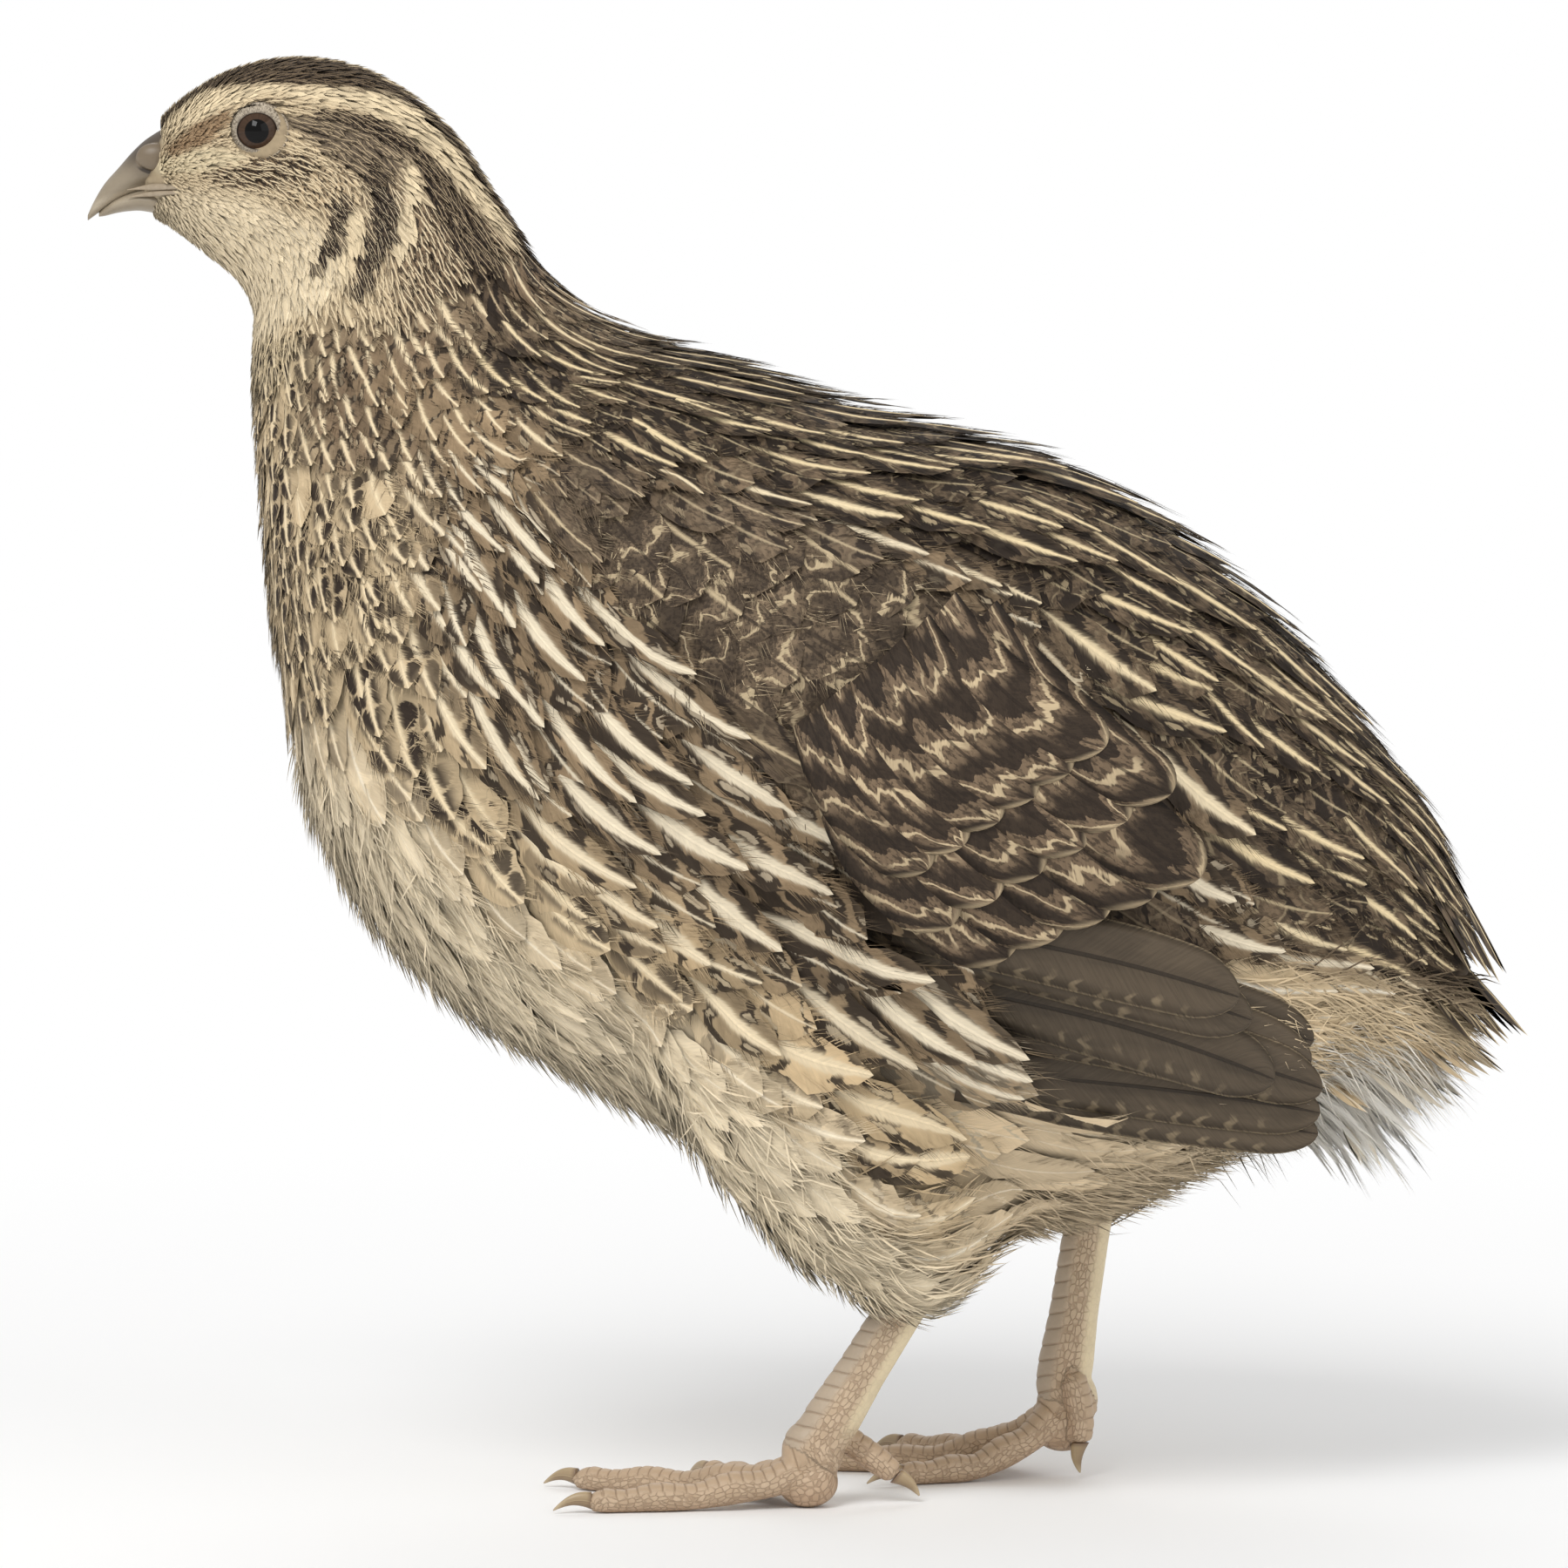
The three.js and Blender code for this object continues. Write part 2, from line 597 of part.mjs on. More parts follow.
const KNUCKLES = { count: 3, swell: 0.09 };
const HALLUX = { radii: [1.7, 1.5, 1.55, 1.0], inward: 2.4 };
const CLAWS = { length: 3.8, rear: 3.2, radius: 0.85, blunt: 0.1, bow: 0.35, droop: 0.8, rootHeight: 1.15 };
const SCUTES = { count: 10, from: 0.24, to: 0.9, raised: 0.25 }; // the shin's front plates, down its length
const THIGH_FLAT = 0.75; // its side-to-side half size beside its radius

// A toe along the ground: knuckles swell it, and its underside is flat where the pads stand on the floor.
function toe(start, angle, length, side, grow = 0) {
  const steps = 8;
  const around = 10;
  const run = new THREE.Vector3(-Math.cos(angle), -side * Math.sin(angle), 0);
  const across = new THREE.Vector3(-run.y, run.x, 0);
  const rings = [];
  for (let i = 0; i <= steps; i++) {
    const s = i / steps;
    const knuckle = 1 + KNUCKLES.swell * Math.cos(2 * Math.PI * KNUCKLES.count * s);
    const r = (FOOT.toe + (FOOT.toeTip - FOOT.toe) * s) * knuckle * (i === steps ? 0.7 : 1);
    const rise = start.z * Math.max(0, 1 - s / FOOT.lifted) ** 1.7;
    const centre = start.clone().addScaledVector(run, length * s).setZ(r * 0.9 + rise);
    const ring = [];
    for (let j = 0; j < around; j++) {
      const a = (2 * Math.PI * j) / around;
      const p = centre.clone().addScaledVector(across, (r + grow) * Math.cos(a));
      p.z = Math.max(-grow, p.z + (r + grow) * Math.sin(a));
      ring.push(p);
    }
    rings.push(ring);
  }
  return { shape: solid(ringsGeometry(rings)), end: rings[steps], run };
}

// A claw: a short horn that carries on from the toe's end and bends down. across is level, to its side.
function claw(from, run, across, length, droop) {
  const steps = 4;
  const around = 8;
  const lift = run.clone().cross(across).normalize();
  if (lift.z < 0 || lift.x > 0.9) lift.negate();
  const rings = [];
  for (let i = 0; i <= steps; i++) {
    const s = i / steps;
    const r = CLAWS.radius * (1 - s) ** 0.75 + CLAWS.blunt;
    const centre = from
      .clone()
      .addScaledVector(run, length * s)
      .addScaledVector(lift, CLAWS.bow * Math.sin(Math.PI * s) - droop * s * s);
    const ring = [];
    for (let j = 0; j < around; j++) {
      const a = (2 * Math.PI * j) / around;
      ring.push(
        centre
          .clone()
          .addScaledVector(across, 0.75 * r * Math.cos(a))
          .addScaledVector(lift, r * Math.sin(a)),
      );
    }
    rings.push(ring);
  }
  return solid(ringsGeometry(rings));
}

for (const leg of LEGS) {
  const y = leg.side * FOOT.y;
  const hipY = leg.side * FOOT.hipY;
  const thigh = (grow) =>
    limb(
      leg.thigh.map(([x, z, r], i) => {
        const f = i / (leg.thigh.length - 1);
        return [x, hipY + (y - hipY) * f, z, r + grow, r * THIGH_FLAT + grow];
      }),
      16,
    );
  const shin = (grow) => {
    const [hx, hz] = leg.hock;
    const [fx, fz] = leg.foot;
    const spot = (f) => [hx + (fx - hx) * f, y, hz + (fz - hz) * f];
    const scutes = [];
    for (let k = 0; k < SCUTES.count; k++) {
      const from = SCUTES.from + ((SCUTES.to - SCUTES.from) * k) / SCUTES.count;
      const to = SCUTES.from + ((SCUTES.to - SCUTES.from) * (k + 0.92)) / SCUTES.count;
      const swell = 1 + 0.12 * Math.max(0, (from - 0.6) / 0.35);
      const sizes = [FOOT.shin * swell + grow, FOOT.shinSide * swell + grow];
      scutes.push([...spot(from), ...sizes, 0], [...spot(to), ...sizes, SCUTES.raised]);
    }
    const tube = limb(
      [
        [...spot(-0.1), 1.6 + grow, 1.4 + grow],
        [...spot(0.0), ...FOOT.ankle.map((r) => r + grow)],
        [...spot(0.12), FOOT.shin + grow, FOOT.shinSide + grow],
        ...scutes,
        [...spot(0.97), FOOT.palm + grow, FOOT.palm + grow - 0.2],
      ],
      12,
    );
    const palm = ellipsoid([fx + 0.4, y, leg.heel], FOOT.ball.map((r) => r + grow), 14, 8);
    return tube.add(palm);
  };
  const floor = solid(new THREE.BoxGeometry(200, 200, 20).translate(0, 0, -10));
  add("thigh_" + leg.word, thigh(0).subtract(torsoRoom).subtract(shin(GAP)), BELLY_DOWN);
  add("tarsus_" + leg.word, shin(0).subtract(floor).subtract(torsoRoom), SCALES);
  const startOf = (name) => {
    const out = { inner: -FOOT.apart, middle: 0, outer: FOOT.apart }[name];
    return new THREE.Vector3(leg.foot[0] - 0.6, y + leg.side * out, leg.heel - 0.7);
  };
  const middleRoom = toe(startOf("middle"), ...leg.toes.middle, leg.side, GAP).shape;
  for (const [name, [angle, length]] of Object.entries(leg.toes)) {
    const made = toe(startOf(name), angle, length, leg.side);
    let shape = made.shape.subtract(shin(GAP));
    if (name !== "middle") shape = shape.subtract(middleRoom);
    add("toe_" + name + "_" + leg.word, shape, SCALES);
    const root = middleOf(made.end).addScaledVector(made.run, GAP).setZ(CLAWS.rootHeight);
    const across = new THREE.Vector3(-made.run.y, made.run.x, 0);
    const horn = claw(root, made.run, across, CLAWS.length, CLAWS.droop);
    add("claw_" + name + "_" + leg.word, horn, CLAW);
  }
  const { start, end } = leg.hallux;
  const inward = y - leg.side * HALLUX.inward;
  const along = new THREE.Vector3(end[0] - start[0], 0, end[1] - start[1]).normalize();
  const hallux = limb(
    [0, 0.35, 0.7, 1].map((f) => {
      const r = HALLUX.radii[Math.round(f * 3)];
      return [start[0] + (end[0] - start[0]) * f, inward, start[1] + (end[1] - start[1]) * f, r, r * 0.9];
    }),
    12,
  );
  add("toe_rear_" + leg.word, hallux.subtract(shin(GAP)), SCALES);
  const clawRoot = new THREE.Vector3(end[0], inward, end[1]).addScaledVector(along, GAP);
  const level = new THREE.Vector3(0, 1, 0);
  const rearClaw = claw(clawRoot, along, level, CLAWS.rear, 0);
  add("claw_rear_" + leg.word, rearClaw.subtract(shin(GAP)), CLAW);
}

export default quail;
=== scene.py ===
# %% [markdown]
# # A coturnix quail, life size
# This lesson dresses the bare solids of a small ground bird as a museum model. The solids give the size, the
# stance and the outline. Here one skin is laid inside them, and on the skin grow thousands of small vanes,
# each a solid mesh, that carry the bird's markings. The bill, the eyes, the legs and the claws are pieces of
# their own.

# %% Start
import math

import bpy
import numpy as np
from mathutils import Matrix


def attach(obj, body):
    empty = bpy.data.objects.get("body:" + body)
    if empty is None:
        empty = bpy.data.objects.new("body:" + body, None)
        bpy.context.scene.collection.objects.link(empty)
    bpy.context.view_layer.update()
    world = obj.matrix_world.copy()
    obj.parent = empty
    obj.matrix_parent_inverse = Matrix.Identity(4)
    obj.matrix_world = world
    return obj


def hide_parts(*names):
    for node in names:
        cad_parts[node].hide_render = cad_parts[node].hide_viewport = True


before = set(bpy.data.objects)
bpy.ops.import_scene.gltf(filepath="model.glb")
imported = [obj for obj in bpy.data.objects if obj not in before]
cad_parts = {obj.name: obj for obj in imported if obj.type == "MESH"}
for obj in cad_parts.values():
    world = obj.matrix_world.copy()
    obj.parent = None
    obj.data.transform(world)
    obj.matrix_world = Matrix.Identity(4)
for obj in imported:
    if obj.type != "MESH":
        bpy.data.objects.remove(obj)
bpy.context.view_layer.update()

MM = 0.001
FULL = 2 * math.pi
LEFT, RIGHT = -1, 1
print("solids in the frame:", len(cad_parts))

# %% [markdown]
# Every surface in this lesson is worked out in millimetres as whole arrays and turned to metres when it goes
# into its mesh. Three small helpers do most of the work: a smooth curve through named sizes, a soft step for
# edges that fade, and a way to put points and faces into a mesh with foreach_set.

# %% Curves and meshes
def curve(values, t):
    """Catmull-Rom: with a, b, c, d round t and f the part past b, half of
    2b + (c - a) f + (2a - 5b + 4c - d) f^2 + (3b - a - 3c + d) f^3."""
    values = np.asarray(values, float)
    t = np.asarray(t, float)
    i = np.clip(np.floor(t).astype(int), 0, len(values) - 2)
    f = t - i
    f = f[..., None] if values.ndim > 1 else f
    a, b, c, d = (values[np.clip(i + k, 0, len(values) - 1)] for k in (-1, 0, 1, 2))
    return 0.5 * (2 * b + (c - a) * f + (2 * a - 5 * b + 4 * c - d) * f**2 + (3 * b - a - 3 * c + d) * f**3)


def step(value, low, high):
    """Zero below low, one above high, and 3x^2 - 2x^3 of the share between."""
    x = np.clip((np.asarray(value, float) - low) / (high - low), 0, 1)
    return x * x * (3 - 2 * x)


def unit(v):
    """Each vector over its length."""
    return v / np.maximum(np.linalg.norm(v, axis=-1, keepdims=True), 1e-9)


def linear(*rgb):
    """A colour of 0 to 255 as light: each share c becomes ((c + 0.055) / 1.055) ^ 2.4."""
    c = np.array(rgb, float) / 255
    return np.where(c < 0.04045, c / 12.92, ((c + 0.055) / 1.055) ** 2.4)


def mesh_of(name, points, faces, uvs=None, colours=None, smooth=True, lie=None):
    """Puts points in mm and faces (arrays of corner numbers, three or four wide) into one mesh. uvs and
    colours give a value for each point; a uv is handed on to each corner of the point. lie is the way each
    point is shaded, where that isn't the mesh's own."""
    faces = faces if isinstance(faces, list) else [faces]
    mesh = bpy.data.meshes.new(name)
    corners = np.concatenate([f.reshape(-1) for f in faces]).astype(np.int32)
    sizes = np.concatenate([np.full(len(f), f.shape[1]) for f in faces]).astype(np.int32)
    mesh.vertices.add(len(points))
    mesh.vertices.foreach_set("co", (np.asarray(points) * MM).astype(np.float32).reshape(-1))
    mesh.loops.add(len(corners))
    mesh.loops.foreach_set("vertex_index", corners)
    mesh.polygons.add(len(sizes))
    mesh.polygons.foreach_set("loop_start", np.concatenate([[0], np.cumsum(sizes)[:-1]]).astype(np.int32))
    mesh.polygons.foreach_set("use_smooth", np.full(len(sizes), smooth))
    mesh.update(calc_edges=True)
    for key, values in (uvs or {}).items():
        values = values if len(values) == len(corners) else values[corners]
        layer = mesh.uv_layers.new(name=key)
        layer.data.foreach_set("uv", np.asarray(values).astype(np.float32).reshape(-1))
    for key, values in (colours or {}).items():
        rgba = np.ones((len(points), 4), np.float32)
        rgba[:, :3] = values
        mesh.attributes.new(key, "FLOAT_COLOR", "POINT").data.foreach_set("color", rgba.reshape(-1))
    if lie is not None:
        mesh.normals_split_custom_set_from_vertices(lie.astype(np.float32))
    thing = bpy.data.objects.new(name, mesh)
    bpy.context.scene.collection.objects.link(thing)
    return thing


def tube_faces(rows, around):
    """The faces of rings that follow each other, each ring closed, with a fan at either end. Points are the
    rings in turn, then the first ring's middle and the last one's."""
    i, j = np.meshgrid(np.arange(rows - 1), np.arange(around), indexing="ij")
    k = (j + 1) % around
    quads = np.stack([i * around + j, i * around + k, (i + 1) * around + k, (i + 1) * around + j], -1)
    j = np.arange(around)
    k = (j + 1) % around
    last = (rows - 1) * around
    first_fan = np.stack([np.full(around, rows * around), k, j], -1)
    last_fan = np.stack([np.full(around, rows * around + 1), last + j, last + k], -1)
    return [quads.reshape(-1, 4), np.concatenate([first_fan, last_fan])]


def ringed(rings):
    """Rings of points as one list, with each end ring's middle added."""
    return np.concatenate([rings.reshape(-1, 3), rings[0].mean(0)[None], rings[-1].mean(0)[None]])


print("a quarter turn of the curve helper:", curve([0, 1, 4, 9], 1.5).round(3))

# %% [markdown]
# The trunk is one tube from the bill's base to the tail, given by named stations as in the solids: the back
# and the belly as places in the side view, and the half-width there. Its cross-section is a squared ellipse.
# t counts stations from the face and phi goes round from the back (0) over the right side to the belly.

# %% The trunk's stations
STATIONS = {
    "face": (-69.6, 145.4, -70.3, 137.7, 3.3),
    "brow": (-65.7, 149.5, -67.4, 135.8, 6.1),
    "forehead": (-59.9, 152.8, -63.7, 132.9, 8.2),
    "crown": (-52.9, 153.8, -60.0, 129.6, 9.5),
    "hindcrown": (-45.2, 152.0, -58.4, 126.2, 10.1),
    "nape": (-37.8, 146.5, -58.7, 122.6, 10.5),
    "neck": (-32.5, 139.1, -59.0, 117.8, 11.4),
    "neckbase": (-26.4, 130.3, -58.8, 110.2, 13.4),
    "mantle": (-18.0, 124.5, -58.1, 100.2, 17.6),
    "shoulder": (-6.1, 120.8, -56.6, 88.0, 22.6),
    "breast": (6.9, 116.5, -53.2, 72.6, 26.6),
    "keel": (18.1, 113.7, -46.3, 60.2, 29.0),
    "flank": (28.3, 110.5, -36.0, 50.6, 30.0),
    "belly": (38.2, 104.8, -21.6, 42.4, 29.6),
    "loin": (47.0, 98.0, -6.0, 34.2, 27.6),
    "vent": (54.5, 89.8, 10.8, 28.6, 24.2),
    "rump": (61.4, 81.0, 26.6, 29.2, 19.8),
    "tailroot": (67.0, 72.3, 41.8, 36.4, 15.2),
    "tailcoverts": (71.1, 61.2, 53.4, 45.4, 10.4),
    "tailtip": (75.2, 51.4, 72.2, 46.6, 4.0),
}
ROWS = np.array(list(STATIONS.values()))
AT = {name: i for i, name in enumerate(STATIONS)}
FULLNESS = 2.15
COAT_DEPTH = [1.1, 0.7, 0.6, 0.7, 0.8, 1.0, 1.3, 1.6, 1.9, 2.1, 2.2, 2.3, 2.3, 2.3, 2.2, 2.0, 1.9, 1.9, 1.9, 1.6]
SKIN_END = AT["tailcoverts"] + 0.3


def section(t):
    """The cross-section at t: its centre and the unit vector up it as (x, z), its half height and width."""
    row = curve(ROWS, t)
    back, belly = row[..., 0:2], row[..., 2:4]
    across = back - belly
    tall = np.linalg.norm(across, axis=-1) / 2
    return (back + belly) / 2, across / (2 * tall[..., None]), tall, row[..., 4]


def trunk(t, phi, grow=0.0):
    """centre + up (tall + grow) r cos(phi), and (half + grow) r sin(phi) to the side, where
    r = (|cos|^F + |sin|^F)^(-1/F)."""
    centre, up, tall, half = section(t)
    c, s = np.cos(phi), np.sin(phi)
    r = (np.abs(c) ** FULLNESS + np.abs(s) ** FULLNESS) ** (-1 / FULLNESS)
    rise = (tall + grow) * r * c
    return np.stack(
        np.broadcast_arrays(
            centre[..., 0] + up[..., 0] * rise, (half + grow) * r * s, centre[..., 1] + up[..., 1] * rise
        ),
        -1,
    )


def trunk_side(x, z, low=7.0, high=19.0):
    """The trunk's half-width at a place of the side view. Halving finds the section through the place, and
    its half-width shrinks there by (1 - q^F)^(1/F) where q is the share of the half height."""
    x, z = np.broadcast_arrays(np.asarray(x, float), np.asarray(z, float))
    low, high = np.full(x.shape, float(low)), np.full(x.shape, float(high))
    for _ in range(24):
        middle = (low + high) / 2
        centre, up, tall, half = section(middle)
        ahead = (x - centre[..., 0]) * up[..., 1] - (z - centre[..., 1]) * up[..., 0] > 0
        low, high = np.where(ahead, middle, low), np.where(ahead, high, middle)
    centre, up, tall, half = section(low)
    q = np.abs((x - centre[..., 0]) * up[..., 0] + (z - centre[..., 1]) * up[..., 1]) / tall
    return half * (1 - np.minimum(q, 1) ** FULLNESS) ** (1 / FULLNESS)


print("trunk from", ROWS[0, :2], "to", ROWS[-1, :2], "widest", ROWS[:, 4].max() * 2, "mm")

# %% [markdown]
# A folded wing lies on the side as a low pad of coverts, and a thigh swells the belly above each leg. On the
# real bird the skin runs over all of it, so here they are rises of the one skin and no pieces of their own.
# The wing's rise is a lens round a bent line. The thigh's is found along rays from the trunk's middle.

# %% Wing pad and thighs
WING_LINE = np.array([[-27.5, 109.0], [-13.5, 101.5], [0.5, 93.0], [15.0, 82.0], [27.0, 71.5], [34.0, 63.0]])
WING_HALF = [2.4, 8.0, 12.6, 14.6, 12.6, 6.5]
WING_THICK = [1.6, 2.9, 3.4, 3.4, 3.0, 2.0]
WING_TIP = {"x": 54.0, "side": 13.0, "bend": 26.0, "flare": 0.34, "ease": 0.7}
THIGHS = {
    LEFT: [(-5.0, 55.0, 15.0), (0.5, 46.0, 15.0), (6.5, 37.0, 13.4), (11.0, 29.8, 9.8), (11.4, 25.6, 4.4)],
    RIGHT: [(12.0, 58.0, 14.0), (19.0, 48.0, 13.0), (26.0, 40.0, 10.5), (30.4, 34.0, 7.4), (31.4, 30.0, 4.0)],
}
HIP_Y, FOOT_Y = 13.5, 10.5


def wing_place(x, z):
    """The nearest place on the wing's line, counted in its points, and how far off it in half-widths."""
    t = np.linspace(0, 5, 81)
    line = curve(WING_LINE, t)
    ahead = unit(np.gradient(line, axis=0))
    gap = (x[..., None] - line[:, 0]) ** 2 + (z[..., None] - line[:, 1]) ** 2
    k = gap.argmin(-1)
    off = (z - line[k, 1]) * ahead[k, 0] - (x - line[k, 0]) * ahead[k, 1]
    past = (x - line[k, 0]) * ahead[k, 0] + (z - line[k, 1]) * ahead[k, 1]
    half = curve(WING_HALF, t[k])
    return t[k], off / half, past / half


def wing_rise(x, z):
    """thick (1 - off^2 - past^2)^0.7 round the wing's line, zero outside it."""
    t, off, past = wing_place(x, z)
    return curve(WING_THICK, t) * np.clip(1 - off**2 - past**2, 0, 1) ** 0.7


def thigh_gap(p, side, coat):
    """Distance from p to a chain of balls with sizes between their rows' ones, less than zero inside."""
    rows = np.array(THIGHS[side])
    y = side * np.linspace(HIP_Y, FOOT_Y, len(rows))
    best = np.full(p.shape[:-1], 1e9)
    flat = np.array([1, 1 / 0.75, 1])
    for k in range(len(rows) - 1):
        a, b = (np.array([rows[m][0], y[m], rows[m][1]]) for m in (k, k + 1))
        run = (b - a) * flat
        h = np.clip(((p - a) * flat @ run) / (run @ run), 0, 1)
        radius = rows[k][2] + h * (rows[k + 1][2] - rows[k][2]) - coat
        best = np.minimum(best, np.linalg.norm((p - a) * flat - h[..., None] * run, axis=-1) - radius)
    return best


def blurred(field, times):
    """Each value becomes the mean of itself and its neighbours, round in phi and held at the ends in t."""
    for _ in range(times):
        field = (np.roll(field, 1, 1) + 2 * field + np.roll(field, -1, 1)) / 4
        padded = np.concatenate([field[:1], field, field[-1:]])
        field = (padded[:-2] + 2 * field + padded[2:]) / 4
    return field


ALONG, ROUND = 521, 288
grid_t = np.linspace(0, SKIN_END, ALONG)
grid_phi = np.arange(ROUND) * FULL / ROUND
T, PHI = np.meshgrid(grid_t, grid_phi, indexing="ij")
depth = curve(COAT_DEPTH, T)
skin = trunk(T, PHI, -depth)
centre, up, tall, half = section(T)
middle = np.stack([centre[..., 0], np.zeros_like(T), centre[..., 1]], -1)
stretch = np.ones_like(T)
lower = (T > 9) & (T < 17.5) & (np.cos(PHI) < 0.2)
for side in (LEFT, RIGHT):
    mine = lower & (np.sin(PHI) * side > 0.02)
    ray = skin[mine] - middle[mine]
    for k in np.linspace(1, 2.3, 110):
        inside = thigh_gap(middle[mine] + ray * k, side, 1.6) < 0
        stretch[mine] = np.where(inside, k, stretch[mine])
stretch = blurred(stretch, 5)
skin = middle + (skin - middle) * stretch[..., None]
skin[..., 1] += np.sign(skin[..., 1]) * 0.8 * wing_rise(skin[..., 0], skin[..., 2]) * step(np.abs(np.sin(PHI)), 0.1, 0.5)
print("the thighs stretch the trunk by up to", stretch.max().round(2))

# %% [markdown]
# The skin is kept as a grid over t and phi with its slopes, so that anything can be laid on it: a place in t
# and phi, and a height above the skin, give a point. Past the tail's end the surface runs on straight.

# %% A surface to lay feathers on
slope_t = np.gradient(skin, grid_t[1] - grid_t[0], axis=0)
slope_phi = (np.roll(skin, -1, 1) - np.roll(skin, 1, 1)) / (2 * FULL / ROUND)
outward = unit(np.cross(slope_phi, slope_t))
if (outward * (skin - middle)).sum() < 0:
    outward = -outward
FIELDS = np.concatenate([skin, outward, slope_t, slope_phi], -1)


def on_skin(t, phi):
    """Place, outward vector and the two slopes at (t, phi), each mixed from the four grid points round it."""
    held = np.clip(t, 0, SKIN_END - 1e-6)
    a = held / SKIN_END * (ALONG - 1)
    b = (phi / FULL * ROUND) % ROUND
    i, j = np.minimum(a.astype(int), ALONG - 2), b.astype(int) % ROUND
    u, v = (a - i)[..., None], (b - np.floor(b))[..., None]
    k = (j + 1) % ROUND
    mixed = (FIELDS[i, j] * (1 - v) + FIELDS[i, k] * v) * (1 - u)
    mixed += (FIELDS[i + 1, j] * (1 - v) + FIELDS[i + 1, k] * v) * u
    place, out, along, round_ = (mixed[..., 3 * n : 3 * n + 3] for n in range(4))
    return place + (t - held)[..., None] * along, unit(out), along, round_


def unwrapped(t, phi):
    """The skin's own unwrap: t along the map and phi up it, with a small margin."""
    return np.stack([0.01 + 0.98 * t / 20.5, 0.01 + 0.98 * ((phi / FULL) % 1.0)], -1)


print("surface grid", FIELDS.shape)

# %% [markdown]
# A feather here is a thin closed vane: a row of cross-sections with a raised middle, drawn together to a point
# at the root and at the tip. Its middle line is walked over the skin in small steps, so it follows the body's
# curves, and its height above the skin grows from root to tip. So each feather's tip lies on the roots behind
# it, as slates lie on a roof. One call lays thousands of them as whole arrays.

# %% Laying feathers
rng = np.random.default_rng(11)


def vane_faces(rows, columns):
    """Faces of one vane: a top of columns strips, an underside of two, and a fan at either end. Points are
    rows - 1 sections of columns + 1 top points and one under the middle, then the root and the tip."""
    wide = columns + 2
    quads, fans = [], []
    under, half = columns + 1, columns // 2
    for i in range(rows - 2):
        a, b = i * wide, (i + 1) * wide
        quads += [(a + j, b + j, b + j + 1, a + j + 1) for j in range(columns)]
        quads += [(a + under, b + under, b, a), (a + columns, b + columns, b + under, a + under)]
    root, tip = (rows - 1) * wide, (rows - 1) * wide + 1
    last = (rows - 2) * wide
    fans += [(root, j, j + 1) for j in range(columns)] + [(root, under, 0), (root, columns, under)]
    fans += [(tip, last + j + 1, last + j) for j in range(columns)]
    fans += [(tip, last, last + under), (tip, last + under, last + columns)]
    return np.array(quads), np.array(fans)


def slope_steps(t, phi, heading):
    """At (t, phi), how t and phi change for one millimetre ahead and one across. Ahead is the way the trunk
    runs, turned by heading towards the belly."""
    place, out, along, round_ = on_skin(t, phi)
    ahead = unit(along)
    down = unit(np.cross(out, ahead))
    down *= np.sign((down * round_).sum(-1, keepdims=True))
    belly_ward = np.where(np.sin(phi) >= 0, 1.0, -1.0)[..., None]
    h = heading[..., None]
    run = np.cos(h) * ahead + np.sin(h) * down * belly_ward
    side = np.cross(out, run)
    aa, ab, bb = ((p * q).sum(-1) for p, q in ((along, along), (along, round_), (round_, round_)))
    det = np.maximum(aa * bb - ab * ab, 1e-6)
    steps = []
    for v in (run, side):
        p, q = (along * v).sum(-1), (round_ * v).sum(-1)
        steps.append(((p * bb - q * ab) / det, (q * aa - p * ab) / det))
    return steps


def width_share(s, root, tip):
    """s^root (1 - s)^tip over its greatest value."""
    best = root / (root + tip)
    return s**root * (1 - s) ** tip / (best**root * (1 - best) ** tip)


